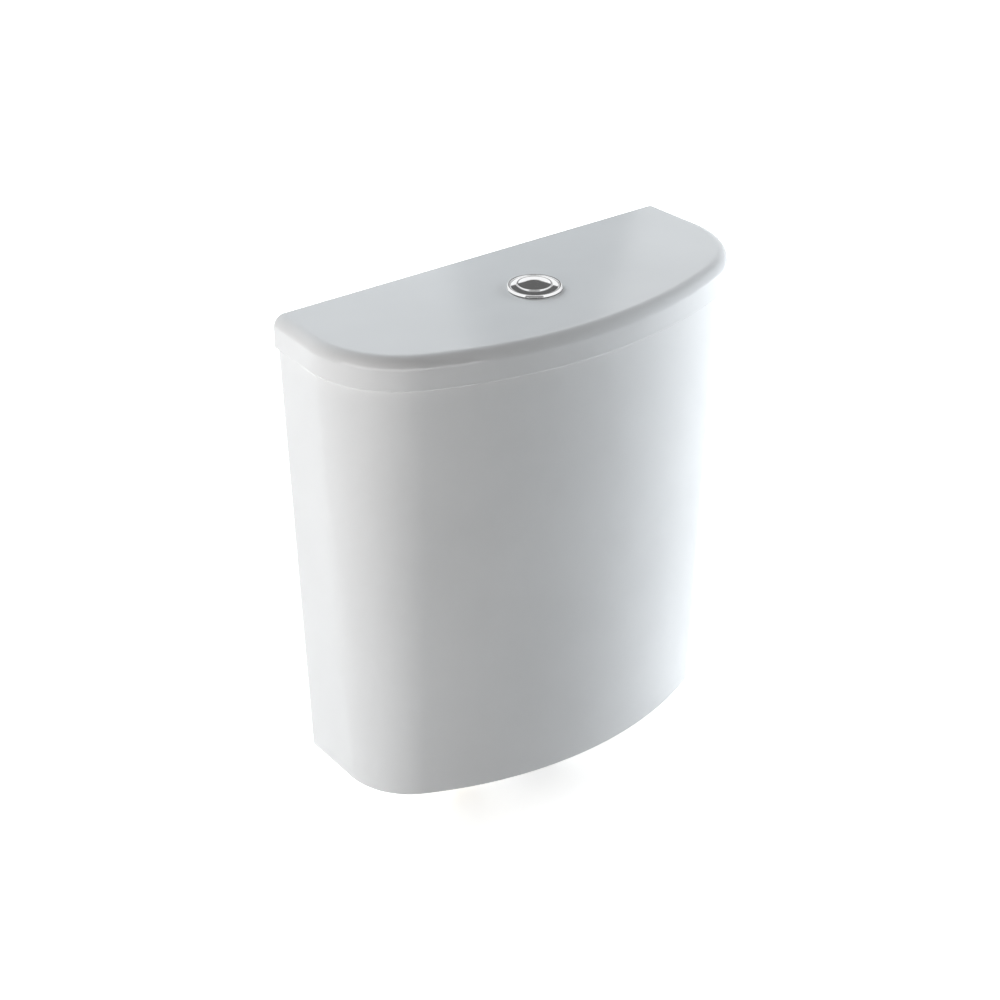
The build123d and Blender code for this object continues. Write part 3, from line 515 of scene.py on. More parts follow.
def make_large_cap():
    low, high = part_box("full_flush_button")
    radius, top, under = high.x, high.z, high.z - cap_thickness
    rim, edge, rounding = 0.35 * mm, 0.3 * mm, 0.09 * mm
    dish, dish_depth = radius - rim, 1.0 * mm
    hole = 13.95 * mm
    x, y = clocked(small_cap_offset)
    loops = [(x, y, hole, under), (x, y, hole, top - edge), (x, y, hole + rounding, top - rounding),
             (x, y, hole + edge, top)]
    rings = 14
    for step in range(1, rings):
        share = step / rings
        spread = hole + edge + (dish - hole - edge) * share
        loops.append((x * (1 - share), y * (1 - share), spread, top))
    loops += [(0, 0, dish, top), (0, 0, dish + 0.25 * mm, top - 0.1 * mm), (0, 0, radius, top - rim),
              (0, 0, radius, under + edge), (0, 0, radius - edge, under)]
    cap = ringed("large_cap", loops, 128)
    for vertex in cap.data.vertices:
        if vertex.co.z > top - 0.5 * mm:
            vertex.co.z -= sag(math.hypot(vertex.co.x, vertex.co.y), dish, dish_depth)
    joined(cap, stem("large_cap_stem", -1, low.z, under + 0.5 * mm))
    close_up(cap, "full_button", ["full_flush_button"], 50.0)


def make_small_cap():
    low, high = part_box("half_flush_button")
    top, under = high.z, high.z - cap_thickness
    radius, rim, edge = 13.8 * mm, 0.35 * mm, 0.3 * mm
    dish, dish_depth = radius - rim, 0.7 * mm
    outline = [(near_axis, under), (radius - edge, under), (radius, under + edge)]
    outline += arc((radius - rim, top - rim), rim, 0, 80, 5)
    rings = 15
    for step in range(rings + 1):
        distance = max(dish * (1 - step / rings), near_axis)
        outline.append((distance, top - sag(distance, dish, dish_depth)))
    cap = spun("small_cap", outline, clocked(small_cap_offset), 128)
    joined(cap, stem("small_cap_stem", 1, low.z, under + 0.5 * mm))
    close_up(cap, "half_button", ["half_flush_button"], 50.0)


make_ring()
make_large_cap()
make_small_cap()


# Return springs: round wire with close-wound end coils
def make_spring(name, side, node):
    low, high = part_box(node)
    wire, coil, turns = 0.35 * mm, 3.6 * mm, 6
    axis = clocked(side * stem_offset)
    section = [(coil + wire * math.cos(turn * math.pi / 4), wire * math.sin(turn * math.pi / 4))
               for turn in range(8)]
    closed = 2.1 * wire
    bottom = low.z + wire
    top = high.z - wire
    run = top - bottom - 2 * closed
    spring = helix(name, section, axis, bottom, closed, 1, 24)
    middle = helix(name + "_middle", section, axis, bottom + closed, run / turns, turns, 24)
    head = helix(name + "_head", section, axis, top - closed, closed, 1, 24)
    joined(spring, middle, head)
    close_up(spring, "lid", [node], 60.0)
    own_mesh(spring)


make_spring("full_return_spring", -1, "full_flush_spring")
make_spring("half_return_spring", 1, "half_flush_spring")


# Inlet tail, flange and riser of the fill valve
def make_riser():
    low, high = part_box("fill_valve_shank")
    bore, core, pipe, flange, edge = 6.5 * mm, 9.6 * mm, 10.5 * mm, 17 * mm, 0.6 * mm
    crest, pitch, depth = 10.45 * mm, 1.814 * mm, 0.9 * mm
    outline = [(bore, low.z), (core - 1 * mm, low.z), (core, low.z + 1 * mm), (core, flange_level),
               (flange - edge, flange_level), (flange, flange_level + edge), (flange, flange_top - edge),
               (flange - edge, flange_top), (11.6 * mm, flange_top), (pipe, flange_top + 3 * mm),
               (pipe, high.z), (bore, high.z)]
    riser = spun("inlet_riser", outline, inlet, 48)
    screw = thread("tail_thread", inlet, low.z + 1.2 * mm, 3.5 * mm, crest, pitch, depth)
    upper = thread("tail_thread_upper", inlet, 4.5 * mm, 23.5 * mm, crest, pitch, depth)
    band_root, band_crest = 10.2 * mm, 10.72 * mm
    bands = []
    for step in range(12):
        height = (75 + step * 11.5) * mm
        band = [(band_root, height), (band_crest, height + 0.3 * mm), (band_crest, height + 1.1 * mm),
                (band_root, height + 1.4 * mm)]
        bands.append(spun("riser_band", band, inlet, 48))
    joined(riser, screw, upper, *bands)
    close_up(riser, "cistern", ["fill_valve_shank"])


make_riser()


# Fixing bolts: slotted round head, plain neck and rolled thread
def make_bolts():
    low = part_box("coupling_bolts")[0]
    core, neck, crest, head = 3.5 * mm, 3.6 * mm, 4.0 * mm, 7.5 * mm
    pitch, depth = 1.25 * mm, 0.6 * mm
    neck_low, neck_top, head_level = -14 * mm, 4.5 * mm, 29.5 * mm
    core_top, head_top = head_level - 3 * mm, head_level + 5 * mm
    made = []
    for axis in bolt_axes:
        outline = [(near_axis, low.z), (core - 0.3 * mm, low.z), (core, low.z + 0.5 * mm), (core, neck_low),
                   (neck, neck_low + 0.2 * mm), (neck, neck_top), (core, neck_top + 0.2 * mm),
                   (core, core_top), (crest, head_level - 2.6 * mm), (crest, head_level),
                   (head, head_level), (head, head_top - 2.4 * mm), (7.1 * mm, head_top - 1.3 * mm),
                   (5.9 * mm, head_top - 0.4 * mm), (3.5 * mm, head_top), (near_axis, head_top)]
        bolt = spun("bolt", outline, axis, 48)
        softened(bolt, 0.15 * mm, 1, 50)
        slot_low, slot_half, slot_reach = head_top - 2 * mm, 0.8 * mm, head + 1.5 * mm
        cut_by(bolt, rib("slot_cut", (axis[0] - slot_reach, axis[1] - slot_half, slot_low),
                         (axis[0] + slot_reach, axis[1] + slot_half, head_top + 2 * mm)))
        screw = thread("bolt_thread", axis, low.z + 0.3 * mm, neck_low - 0.5 * mm, crest, pitch, depth)
        upper = thread("bolt_thread_upper", axis, neck_top + 0.5 * mm, core_top, crest, pitch, depth)
        made.append(joined(bolt, screw, upper))
    bolts = joined(*made)
    bolts.name = "slotted_bolts"
    close_up(bolts, "cistern", ["coupling_bolts"])


make_bolts()


# Threaded push rods with a domed tip
def make_rod(name, side, body, node):
    low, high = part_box(node)
    axis = clocked(side * stem_offset)
    core, crest, pitch, depth = 1.65 * mm, 2.0 * mm, 0.9 * mm, 0.38 * mm
    outline = [(near_axis, low.z), (1.1 * mm, low.z + 0.1 * mm), (core, low.z + 0.6 * mm), (core, high.z),
               (near_axis, high.z)]
    rod = spun(name, outline, axis, 24)
    screw = thread(name + "_thread", axis, low.z + 1.0 * mm, high.z - 0.3 * mm, crest, pitch, depth, 16)
    joined(rod, screw)
    close_up(rod, body, [node])


make_rod("full_threaded_rod", -1, "full_button", "full_flush_rod")
make_rod("half_threaded_rod", 1, "half_button", "half_flush_rod")


# Flush valve body: coarse threaded spigot, nozzle, flange and seat
def make_valve_body():
    low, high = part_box("flush_valve_base")
    bore, nozzle, core, flange, seat = 24 * mm, 27 * mm, 28.2 * mm, 42 * mm, 26.5 * mm
    spigot_low, lip = 2 * mm, high.z - 1.2 * mm
    outline = [(bore, low.z), (nozzle - 1.5 * mm, low.z), (nozzle, low.z + 1.5 * mm), (nozzle, spigot_low),
               (core, spigot_low), (core, flange_level), (flange - 0.6 * mm, flange_level),
               (flange, flange_level + 0.6 * mm), (flange, flange_top - 0.8 * mm),
               (flange - 0.8 * mm, flange_top), (seat + 0.4 * mm, flange_top), (seat, flange_top + 0.4 * mm),
               (seat, lip), (25.9 * mm, high.z - 0.2 * mm), (25.2 * mm, high.z),
               (24.6 * mm, high.z - 0.2 * mm), (bore, lip)]
    base = spun("valve_body", outline, (0, 0), 96)
    screw = thread("spigot_thread", (0, 0), 2.2 * mm, 26.6 * mm, 29.8 * mm, 3.6 * mm, 1.6 * mm, 64)
    joined(base, screw)
    close_up(base, "cistern", ["flush_valve_base"])


make_valve_body()


# Backnut: a rounded collar with grip lugs and ridges between them
def make_backnut():
    low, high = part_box("flush_backnut")
    bore, collar, lug_reach, lug_half = 29.9 * mm, 37.8 * mm, 39.5 * mm, 4.5 * mm
    outline = [(bore, low.z), (35.6 * mm, low.z), (36.6 * mm, low.z + 1 * mm), (37 * mm, high.z - 2.4 * mm),
               (collar, high.z - 2.2 * mm), (collar, high.z - 0.4 * mm), (collar - 0.4 * mm, high.z),
               (bore, high.z)]
    nut = spun("ribbed_backnut", outline, (0, 0), 96)
    lug = rib("lug", (34 * mm, -lug_half, low.z + 0.3 * mm), (lug_reach, lug_half, high.z - 0.3 * mm))
    lugs = around(lug, 8)
    ridge = rib("ridge", (35.5 * mm, -0.5 * mm, low.z + 1.2 * mm), (37.4 * mm, 0.5 * mm, high.z - 2.6 * mm))
    places = 64
    ridges = [copied(ridge, (step + 0.5) * 2 * math.pi / places) for step in range(1, places)
              if step % 8 in (3, 4)]
    joined(nut, lug, ridge, *lugs, *ridges)
    close_up(nut, "cistern", ["flush_backnut"])


make_backnut()


# Coupling washer: moulded foam rubber ring with two shallow beads
def make_pan_ring():
    low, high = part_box("coupling_washer")
    bore, outer, waist, chamfer = 42 * mm, 52 * mm, 51.3 * mm, 2 * mm
    bead, bead_end = 4.2 * mm, 5.0 * mm
    outline = [(bore, low.z), (outer - chamfer, low.z), (outer, low.z + chamfer), (outer, low.z + bead),
               (waist, low.z + bead_end), (waist, high.z - bead_end), (outer, high.z - bead),
               (outer, high.z - chamfer), (outer - chamfer, high.z), (bore, high.z)]
    ring = spun("beaded_washer", outline, (0, 0), 96)
    softened(ring, 0.4 * mm, 2, 20)
    close_up(ring, "cistern", ["coupling_washer"], 50.0)


make_pan_ring()


# Overflow tube: rolled mouth, seal flange and float shelf
def make_overflow():
    low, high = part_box("overflow_tube")
    bore, wall, foot, shelf, edge = 12.5 * mm, 14 * mm, 26.5 * mm, 19 * mm, 0.4 * mm
    foot_low, foot_top, shelf_low, shelf_top = 38 * mm, 42 * mm, 126 * mm, 129.98 * mm
    outline = [(bore, low.z), (wall - edge, low.z), (wall, low.z + edge), (wall, foot_low),
               (foot - 0.5 * mm, foot_low), (foot, foot_low + 0.5 * mm), (foot, foot_top - 0.8 * mm),
               (foot - 0.7 * mm, foot_top), (18 * mm, foot_top), (wall, 49 * mm), (wall, shelf_low - 3 * mm),
               (shelf - edge, shelf_low - 0.02 * mm), (shelf, shelf_low + edge),
               (shelf, shelf_top - 0.38 * mm), (shelf - edge, shelf_top), (wall, shelf_top),
               (wall, high.z - 0.7 * mm),
               (wall - edge, high.z - 0.1 * mm), (bore + 0.7 * mm, high.z), (bore, high.z - 0.6 * mm)]
    tube = spun("marked_overflow_tube", outline, (0, 0), 64)
    close_up(tube, "flush_tube", ["overflow_tube"])


make_overflow()


# Refill tube, drawn straight, with the corrugations that let a real refill tube bend in the tank
def make_hose():
    low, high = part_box("silencer_tube")
    bore, waist, crest, pitch = 5.5 * mm, 6.2 * mm, 7.0 * mm, 4.2 * mm
    outline = [(6.9 * mm, low.z)]
    height = low.z + 8 * mm
    while height < high.z - 18 * mm:
        outline += [(crest, height), (waist, height + 1.1 * mm), (waist, height + 1.9 * mm),
                    (crest, height + 3.0 * mm)]
        height += pitch
    outline += [(crest, high.z), (bore, high.z), (bore, low.z)]
    hose = spun("ribbed_refill_tube", outline, spout_axis, 32)
    close_up(hose, "cistern", ["silencer_tube"])


make_hose()


# Wing nuts: cast hub with two drop-shaped ears
def make_wings():
    low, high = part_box("wing_nuts")
    bore, hub_radius, ear_offset = 4.1 * mm, 6.5 * mm, 10 * mm
    made = []
    for axis in bolt_axes:
        outline = [(bore, low.z), (5.6 * mm, low.z), (6.3 * mm, low.z + 0.8 * mm),
                   (hub_radius, high.z - 1 * mm), (hub_radius, high.z), (bore, high.z)]
        hub = spun("hub", outline, axis, 40)
        softened(hub, 0.3 * mm, 2, 40)
        for hand in (-1, 1):
            place = (axis[0] + hand * ear_offset, axis[1], (low.z + high.z) / 2)
            select_none()
            bpy.ops.mesh.primitive_uv_sphere_add(segments=32, ring_count=16, radius=1, location=place)
            ear = bpy.context.object
            ear.scale = (5.9 * mm, 1.5 * mm, 3.9 * mm)
            bpy.ops.object.transform_apply(location=True, rotation=True, scale=True)
            joined(hub, ear)
        made.append(hub)
    wings = joined(*made)
    wings.name = "cast_wing_nuts"
    close_up(wings, "cistern", ["wing_nuts"], 50.0)


make_wings()


# Levers: I-shaped bars with a boss, round tips and cross ribs, drawn along x and turned to the clock
def make_lever(name, body, node, angle):
    x, z = pivot
    start, end, boss, tip = stem_offset, 59.5 * mm, 5 * mm, 3 * mm
    half, rise, web_half, flange = 3.8 * mm, 2.5 * mm, 1.3 * mm, 1.2 * mm
    gap = boss - 1 * mm
    parts = []
    for low_x, high_x in ((start, x - gap), (x + gap, end)):
        parts.append(rib("web", (low_x, -web_half, z - rise + 0.4 * mm),
                         (high_x, web_half, z + rise - 0.4 * mm)))
        parts.append(rib("flange", (low_x, -half, z - rise), (high_x, half, z - rise + flange)))
        parts.append(rib("flange", (low_x, -half, z + rise - flange), (high_x, half, z + rise)))
    for place in (19.5, 24, 43, 48, 53):
        parts.append(rib("cross", (place * mm, -half + 0.3 * mm, z - rise + 0.2 * mm),
                         ((place + 1) * mm, half - 0.3 * mm, z + rise - 0.2 * mm)))
    for place in (start, end):
        parts.append(cross_ring("tip", near_axis, tip, place, z, -half, half))
    lever = cross_ring(name, pin_bore, boss, x, z, -half, half)
    joined(lever, *parts)
    clock_turned(lever, angle)
    close_up(lever, body, [node])


make_lever("full_i_lever", "full_lever", "full_flush_lever", math.pi)
make_lever("half_i_lever", "half_lever", "half_flush_lever", 0)


# Tower head: a plate with a collar, screw bosses, edge ribs and two pairs of braced ears
def make_head():
    low, top, bore = 321.5 * mm, 325.5 * mm, 17.5 * mm
    x, z = pivot
    plate = slab("ribbed_head", 41 * mm, 32 * mm, low, top, 8 * mm)
    cut_by(plate, post("bore", bore, low - 2 * mm, top + 2 * mm, 0, 0, 96))
    collar_top, root = top + 0.9 * mm, 0.5 * mm
    collar = [(bore, top - 1 * mm), (19.8 * mm, top - 1 * mm), (19.6 * mm, top + root),
              (19.2 * mm, collar_top), (bore + 0.4 * mm, collar_top), (bore, top + root)]
    parts = [spun("collar", collar, (0, 0), 96)]
    ear_half, ear_near, ear_far = 4.5 * mm, 4.3 * mm, 7.3 * mm
    boss_top, recess = top + 1.8 * mm, top + 0.6 * mm
    boss = [(near_axis, top - root), (3.4 * mm, top - root), (3.2 * mm, top + 1.5 * mm), (2.9 * mm, boss_top),
            (1.3 * mm, boss_top), (1.2 * mm, recess), (near_axis, recess)]
    for side in (-1, 1):
        for hand in (-1, 1):
            near, far = sorted((hand * ear_near, hand * ear_far))
            parts.append(rib("ear", (side * x - ear_half, near, top - 1.5 * mm),
                             (side * x + ear_half, far, z - 2.4 * mm)))
            parts.append(cross_ring("eye", pin_bore, ear_half, side * x, z, near, far))
            near, far = sorted((hand * 7 * mm, hand * 16 * mm))
            parts.append(rib("brace", (side * x - 0.8 * mm, near, top - root),
                             (side * x + 0.8 * mm, far, top + 2.6 * mm)))
            near, far = sorted((hand * 28.8 * mm, hand * 30 * mm))
            parts.append(rib("edge", (-30 * mm, near, top - root), (30 * mm, far, top + 1.4 * mm)))
            parts.append(spun("screw_boss", boss, (side * 24.5 * mm, hand * 22.5 * mm), 32))
    joined(plate, *parts)
    clock_turned(plate)
    close_up(plate, "cistern", ["tower_head"])


make_head()


# Valve tower: a cage of six ribbed posts under a vented deck, and two channel-shaped columns
def make_tower():
    low, foot, top, stack, head = 31 * mm, 37 * mm, 103 * mm, 107 * mm, 321.6 * mm
    inner, groove, outer, root = 31 * mm, 33.5 * mm, 34 * mm, 0.5 * mm
    foot_ring = [(inner, low), (outer, low), (outer, low + 1.4 * mm), (groove, low + 1.9 * mm),
                 (groove, foot - 1.4 * mm), (outer, foot - 0.9 * mm), (outer, foot), (inner, foot)]
    tower = spun("caged_tower", foot_ring, (0, 0), 96)
    guide, edge = 14.3 * mm, 0.8 * mm
    deck_ring = [(guide, top), (30.4 * mm, top), (inner, top - near_axis), (outer - 0.6 * mm, top),
                 (outer, top + 0.6 * mm), (outer, stack - edge), (outer - edge, stack), (15.9 * mm, stack),
                 (15.2 * mm, stack - root), (guide, stack - root)]
    deck = spun("deck", deck_ring, (0, 0), 96)
    vent, vent_circle = 4 * mm, 23 * mm
    for step in range(6):
        turn = step * math.pi / 3
        cut_by(deck, post("vent", vent, top - 2 * mm, stack + 2 * mm, vent_circle * math.cos(turn),
                          vent_circle * math.sin(turn), 32))
    wall_half, spine_half = 4.4 * mm, 0.8 * mm
    wall = rib("wall", (31.1 * mm, -wall_half, foot - edge), (33.6 * mm, wall_half, top + edge))
    spine = rib("spine", (33.0 * mm, -spine_half, foot - edge), (33.9 * mm, spine_half, top + edge))
    parts = [deck, wall, spine]
    for step in range(1, 6):
        parts += [copied(wall, step * math.pi / 3), copied(spine, step * math.pi / 3)]
    rail, rail_start, rung_height, rung_half, cross_half = 2.4 * mm, 4.6 * mm, 3 * mm, 6.9 * mm, 5.5 * mm
    for side in (-1, 1):
        near, far = sorted((side * 27 * mm, side * 31.5 * mm))
        for start in (-rail_start - rail, rail_start):
            parts.append(rib("rail", (start, near, stack - root), (start + rail, far, head)))
        near, far = sorted((side * 28.6 * mm, side * 30.2 * mm))
        parts.append(rib("web", (-6 * mm, near, stack - root), (6 * mm, far, head)))
        for rung in range(1, 9):
            height = top + rung * 24 * mm
            near, far = sorted((side * 27.5 * mm, side * 32.6 * mm))
            parts.append(rib("rung", (-rung_half, near, height), (rung_half, far, height + rung_height)))
            near, far = sorted((side * 27.3 * mm, side * 31.2 * mm))
            parts.append(rib("cross", (-cross_half, near, height + 12.7 * mm),
                             (cross_half, far, height + 14.0 * mm)))
    joined(tower, *parts)
    clock_turned(tower)
    close_up(tower, "cistern", ["valve_tower"])


make_tower()


# Floats: open-bottomed cups with a rounded shoulder, a seam line and cross walls
def make_float(name, body, node, inner):
    low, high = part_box(node)
    wall, outer, shoulder, seam, edge = 1.6 * mm, 25 * mm, 3 * mm, 0.4 * mm, 0.8 * mm
    middle_z = (low.z + high.z) / 2
    outline = [(inner, low.z), (inner + wall, low.z), (inner + wall, high.z - wall),
               (outer - wall, high.z - wall), (outer - wall, low.z + 1 * mm), (outer - 1.2 * mm, low.z),
               (outer - 0.4 * mm, low.z + 0.4 * mm), (outer, low.z + 1.2 * mm), (outer, middle_z - 0.5 * mm),
               (outer - seam, middle_z - seam / 2), (outer - seam, middle_z + seam / 2),
               (outer, middle_z + 0.5 * mm)]
    outline += arc((outer - shoulder, high.z - shoulder), shoulder, 0, 90, 6)
    outline += [(inner + 0.4 * mm, high.z), (inner, high.z - 0.4 * mm)]
    shell = spun(name, outline, (0, 0), 80)
    cross_wall = rib("wall", (inner + edge, -wall / 2, low.z + 0.6 * mm),
                     (outer - edge, wall / 2, high.z - edge))
    joined(shell, cross_wall, *around(cross_wall, 4))
    clock_turned(shell)
    close_up(shell, body, [node])


make_float("full_float_cup", "flush_tube", "full_flush_float", 14.1 * mm)
make_float("half_float_cup", "carriage", "half_flush_float", 17.1 * mm)


# Fill valve: ribbed head with its side spout, and a gripped cap with the arm's ears
def make_fill_head():
    low, top = 262 * mm, valve_cap_level
    x, y = inlet
    skirt, band, pipe, bore, edge = 18.6 * mm, 19 * mm, 10.6 * mm, 6.5 * mm, 0.6 * mm
    socket, socket_top, spout_top = 7.1 * mm, low + 10 * mm, low + 14 * mm
    rebate, rebate_floor, chamber, chamber_floor = 15.6 * mm, top - 2 * mm, 12 * mm, top - 8 * mm
    outline = [(pipe, low), (skirt - edge, low), (skirt, low + edge), (skirt, low + 15 * mm),
               (band, low + 15.4 * mm), (band, top - 0.5 * mm), (band - 0.5 * mm, top), (rebate, top),
               (rebate, rebate_floor), (chamber, rebate_floor), (chamber, chamber_floor),
               (bore, chamber_floor), (bore, socket_top), (pipe, socket_top)]
    head = spun("ribbed_valve_head", outline, inlet, 72)
    cut_by(head, post("socket", socket, low - 2 * mm, socket_top, *spout_axis))
    bridge_half = 9.4 * mm
    bridge = rib("bridge", (spout_axis[0], y - bridge_half, low + 0.1 * mm),
                 (x - 11 * mm, y + bridge_half, spout_top - 0.2 * mm))
    cut_by(bridge, post("socket", socket, low - 2 * mm, socket_top, *spout_axis))
    outline = [(socket, low), (8.9 * mm, low), (9.5 * mm, low + edge), (9.5 * mm, spout_top - 1.4 * mm),
               (8.2 * mm, spout_top), (near_axis, spout_top), (near_axis, socket_top), (socket, socket_top)]
    spout = spun("spout", outline, spout_axis, 48)
    fin = rib("fin", (x + 18.2 * mm, y - 0.5 * mm, low + 1.5 * mm),
              (x + 18.95 * mm, y + 0.5 * mm, low + 15.6 * mm))
    fins = [copied(fin, step * math.pi / 12, inlet) for step in range(-7, 8) if step]
    joined(head, bridge, spout, fin, *fins)
    close_up(head, "cistern", ["fill_valve_head"])


def make_fill_cap():
    low, top = valve_cap_level, valve_cap_level + 7 * mm
    x, y = inlet
    outer, edge, rounding, recess = 20.5 * mm, 0.3 * mm, 1.2 * mm, top - 0.6 * mm
    outline = [(near_axis, low), (outer - edge, low), (outer, low + edge), (outer, top - rounding)]
    outline += arc((outer - rounding, top - rounding), rounding, 20, 90, 4)
    outline += [(15.5 * mm, top), (15.0 * mm, recess), (13.6 * mm, recess), (13.1 * mm, top),
                (near_axis, top)]
    cap = spun("gripped_cap", outline, inlet, 96)
    grip_radius = 0.88 * mm
    outline = [(near_axis, low + 0.1 * mm), (0.8 * mm, low + 0.1 * mm), (grip_radius, low + 0.5 * mm),
               (grip_radius, top - 2.2 * mm), (0.5 * mm, top - 1.4 * mm), (near_axis, top - 1.2 * mm)]
    grip = spun("grip", outline, (x + outer, y), 12)
    parts = [grip, *around(grip, 40, inlet)]
    arm_x, arm_z, boss, arm_pin_bore = 5 * mm, 301 * mm, 3 * mm, 1.25 * mm
    for hand in (-1, 1):
        near, far = sorted((hand * 3.9 * mm, hand * 5.9 * mm))
        ear = rib("ear", (arm_x - boss, near, top - 0.6 * mm), (arm_x + boss, far, arm_z - 1.4 * mm))
        eye = cross_ring("eye", arm_pin_bore, boss, arm_x, arm_z, near, far, 32)
        for piece in (ear, eye):
            piece.data.transform(Matrix.Translation((x, y, 0)))
            parts.append(piece)
    seat, post_top, post_dip = 2.6 * mm, 297.3 * mm, 296.9 * mm
    outline = [(near_axis, top - 0.5 * mm), (seat, top - 0.5 * mm), (seat, post_top - 0.5 * mm),
               (seat - 0.5 * mm, post_top), (0.9 * mm, post_top), (0.7 * mm, post_dip), (near_axis, post_dip)]
    parts.append(spun("pilot_post", outline, (x - 2 * mm, y), 32))
    joined(cap, *parts)
    close_up(cap, "cistern", ["fill_valve_cap"])


make_fill_head()
make_fill_cap()


# Hexagon nuts with turned chamfers
def nut_block(name, flats, bore, low, high, axis):
    corner = flats / math.sqrt(3)
    select_none()
    bpy.ops.mesh.primitive_cylinder_add(vertices=6, radius=corner, depth=high - low, location=(0, 0, 0))
    nut = bpy.context.object
    nut.name = name
    nut.data.transform(Matrix.Translation((*axis, (low + high) / 2)) @ Matrix.Rotation(math.pi / 6, 4, "Z"))
    drop = (corner - flats / 2) * 0.58
    face, reach = flats / 2 * 0.97, corner + 0.1 * mm
    lens = [(near_axis, low - near_axis), (face, low - near_axis), (reach, low + drop), (reach, high - drop),
            (face, high + near_axis), (near_axis, high + near_axis)]
    cut_by(nut, spun("lens", lens, axis, 96), "INTERSECT")
    cut_by(nut, post("bore", bore, low - 2 * mm, high + 2 * mm, *axis))
    return nut


def make_nuts():
    low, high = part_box("bolt_tank_nuts")
    nuts = joined(*[nut_block("nut", 13 * mm, 4.1 * mm, low.z, high.z, axis) for axis in bolt_axes])
    nuts.name = "chamfered_tank_nuts"
    close_up(nuts, "cistern", ["bolt_tank_nuts"])
    low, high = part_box("tail_backnut")
    bore, flange, flange_low = 10.6 * mm, 18 * mm, high.z - 2 * mm
    nut = nut_block("flanged_inlet_nut", 30 * mm, bore, low.z, high.z - 1 * mm, inlet)
    outline = [(bore, flange_low), (flange - 0.6 * mm, flange_low), (flange, flange_low + 0.5 * mm),
               (flange, high.z), (bore, high.z)]
    joined(nut, spun("flange", outline, inlet, 72))
    close_up(nut, "cistern", ["tail_backnut"])


make_nuts()


# Camera at the photograph's place
def aimed(item, place, target):
    item.location = place
    item.rotation_euler = (Vector(target) - Vector(place)).to_track_quat("-Z", "Y").to_euler()


def add_camera(place, target, lens):
    camera = bpy.data.objects.new("camera", bpy.data.cameras.new("camera"))
    scene.collection.objects.link(camera)
    aimed(camera, place, target)
    camera.data.lens = lens
    camera.data.sensor_width = 36.0
    camera.data.clip_end = 100.0
    scene.camera = camera


add_camera((-1.0641, -1.3597, 1.1631), (-0.03355, 0, 0.2336), 87.24)


# Studio
def soft_box(name, place, power, tint=(1, 1, 1)):
    """A square lamp turned to the middle of the piece."""
    light = bpy.data.lights.new(name, "AREA")
    light.shape = "RECTANGLE"
    light.size = 1.2
    light.size_y = 1.2
    light.energy = power
    light.color = tint
    lamp = bpy.data.objects.new(name, light)
    scene.collection.objects.link(lamp)
    aimed(lamp, place, (0, 0, 0.25))
    lamp.visible_glossy = False


soft_box("left_box", (-1.89, -0.12, 0.5), 16.8, (1, 0.967, 0.937))
soft_box("left_back_box", (-1.4, 1.3, 0.6), 5)
soft_box("right_box", (1.9, -0.4, 0.5), 47, (0.92, 0.965, 1.0))
soft_box("right_back_box", (1.4, 1.2, 0.6), 5)
soft_box("top_box", (0, 0, 2.3), 7)
soft_box("low_back_box", (0.2, 2.1, 1.2), 56, (0.90, 0.965, 1.0))


def reflected_card(name, points, strength):
    """A white studio card that only shiny surfaces see."""
    select_none()
    card = bpy.data.objects.new(name, bpy.data.meshes.new(name))
    card.data.from_pydata(points, [], [range(len(points))])
    scene.collection.objects.link(card)
    finish = bpy.data.materials.new(name)
    finish.use_nodes = True
    tree = finish.node_tree
    glow = tree.nodes.new("ShaderNodeEmission")
    glow.inputs["Color"].default_value = (1, 1, 1, 1)
    glow.inputs["Strength"].default_value = strength
    tree.links.new(glow.outputs[0], tree.nodes["Material Output"].inputs["Surface"])
    card.data.materials.append(finish)
    card.visible_camera = False
    card.visible_diffuse = False
    card.visible_transmission = False
    card.visible_shadow = False


def standing_card(name, start, heading, distance, outline, strength):
    """Stands across a heading from a point; the outline's turns and rises are seen from it, in degrees."""
    ahead = Vector((math.cos(math.radians(heading)), math.sin(math.radians(heading)), 0))
    aside = Vector((ahead.y, -ahead.x, 0))
    points = []
    for turn, rise in outline:
        across = math.tan(math.radians(turn)) * distance
        up = math.tan(math.radians(rise)) * distance / math.cos(math.radians(turn))
        points.append(Vector(start) + ahead * distance + aside * across + Vector((0, 0, up)))
    reflected_card(name, points, strength)


button_face = (0, 0, 0.412)
toward_camera, away_from_camera = 231.9, 51.9
dark_edge = [(12, 3), (8, 8), (6, 12), (5, 17.4), (4, 21.9), (3.4, 24.2), (2.8, 26), (2.2, 27.5), (1.5, 28.9),
             (0.8, 29.7)]
dark_outline = [(-turn, rise) for turn, rise in dark_edge] + [(0, 29.9)] + dark_edge[::-1]
standing_card("dark_back_card", button_face, away_from_camera, 2.2, dark_outline, 0.13)
dim_outline = [(-38, 6), (-38, 74), (38, 74), (38, 6)]
standing_card("dim_front_card", button_face, toward_camera, 3.0, dim_outline, 0.3)
strip_outline = [(-52, -9), (-52, 3), (52, 3), (52, -9)]
standing_card("bright_left_strip", (-0.15, -0.05, 0.4), 222.0, 1.1, strip_outline, 4.0)


def shown_background(tree, seen, lit):
    """White where the camera, gloss or glass looks at it, and plain light for the rest."""
    path = tree.nodes.new("ShaderNodeLightPath")
    looked_at = path.outputs["Is Camera Ray"]
    for ray in ("Is Glossy Ray", "Is Transmission Ray"):
        either = tree.nodes.new("ShaderNodeMath")
        either.operation = "MAXIMUM"
        tree.links.new(looked_at, either.inputs[0])
        tree.links.new(path.outputs[ray], either.inputs[1])
        looked_at = either.outputs[0]
    mix = tree.nodes.new("ShaderNodeMixShader")
    tree.links.new(looked_at, mix.inputs["Fac"])
    tree.links.new(lit, mix.inputs[1])
    tree.links.new(seen, mix.inputs[2])
    return mix.outputs[0]


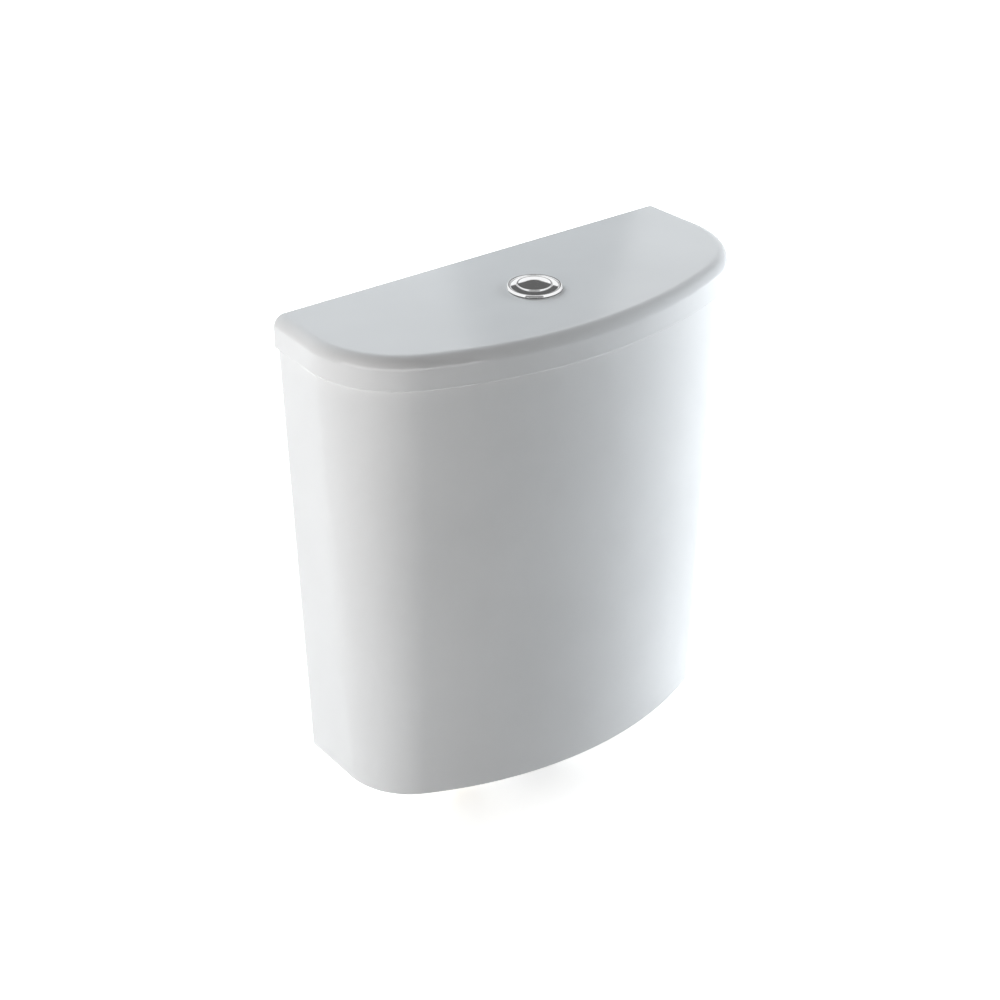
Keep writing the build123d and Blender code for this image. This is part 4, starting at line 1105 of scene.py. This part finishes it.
def add_world():
    """White to look at but nearly dark as a light, so that the lamps light the piece."""
    world = bpy.data.worlds.new("studio")
    scene.world = world
    world.use_nodes = True
    tree = world.node_tree
    lit = tree.nodes["Background"]
    lit.inputs["Color"].default_value = (0.93, 0.96, 1.0, 1)
    lit.inputs["Strength"].default_value = 0.02
    seen = tree.nodes.new("ShaderNodeBackground")
    seen.inputs["Color"].default_value = (1, 1, 1, 1)
    seen.inputs["Strength"].default_value = 1.0
    surface = shown_background(tree, seen.outputs[0], lit.outputs[0])
    tree.links.new(surface, tree.nodes["World Output"].inputs["Surface"])


def lay_floor(level, width, near, far, near_glow, far_glow):
    """A white floor that glows more with the distance from the piece, so that no edge shows."""
    select_none()
    bpy.ops.mesh.primitive_plane_add(size=width, location=(0, 0, level))
    floor = bpy.context.object
    floor.name = "floor"
    ground = bpy.data.materials.new("floor_white")
    ground.use_nodes = True
    tree = ground.node_tree
    shader = tree.nodes["Principled BSDF"]
    shader.inputs["Base Color"].default_value = (0.9, 0.9, 0.9, 1)
    shader.inputs["Roughness"].default_value = 1.0
    shader.inputs["Specular IOR Level"].default_value = 0.0
    glow = tree.nodes.new("ShaderNodeEmission")
    spread = tree.nodes.new("ShaderNodeVectorMath")
    spread.operation = "LENGTH"
    tree.links.new(tree.nodes.new("ShaderNodeTexCoord").outputs["Object"], spread.inputs[0])
    fade = tree.nodes.new("ShaderNodeMapRange")
    fade.interpolation_type = "SMOOTHSTEP"
    fade.inputs["From Min"].default_value = near
    fade.inputs["From Max"].default_value = far
    fade.inputs["To Min"].default_value = near_glow
    fade.inputs["To Max"].default_value = far_glow
    tree.links.new(spread.outputs["Value"], fade.inputs["Value"])
    tree.links.new(fade.outputs["Result"], glow.inputs["Strength"])
    both = tree.nodes.new("ShaderNodeAddShader")
    tree.links.new(shader.outputs[0], both.inputs[0])
    tree.links.new(glow.outputs[0], both.inputs[1])
    surface = shown_background(tree, both.outputs[0], shader.outputs[0])
    tree.links.new(surface, tree.nodes["Material Output"].inputs["Surface"])
    floor.data.materials.append(ground)


add_world()
lay_floor(level=-0.0325, width=30.0, near=0.4, far=1.6, near_glow=0.6, far_glow=1.0)

scene.view_settings.view_transform = "Standard"
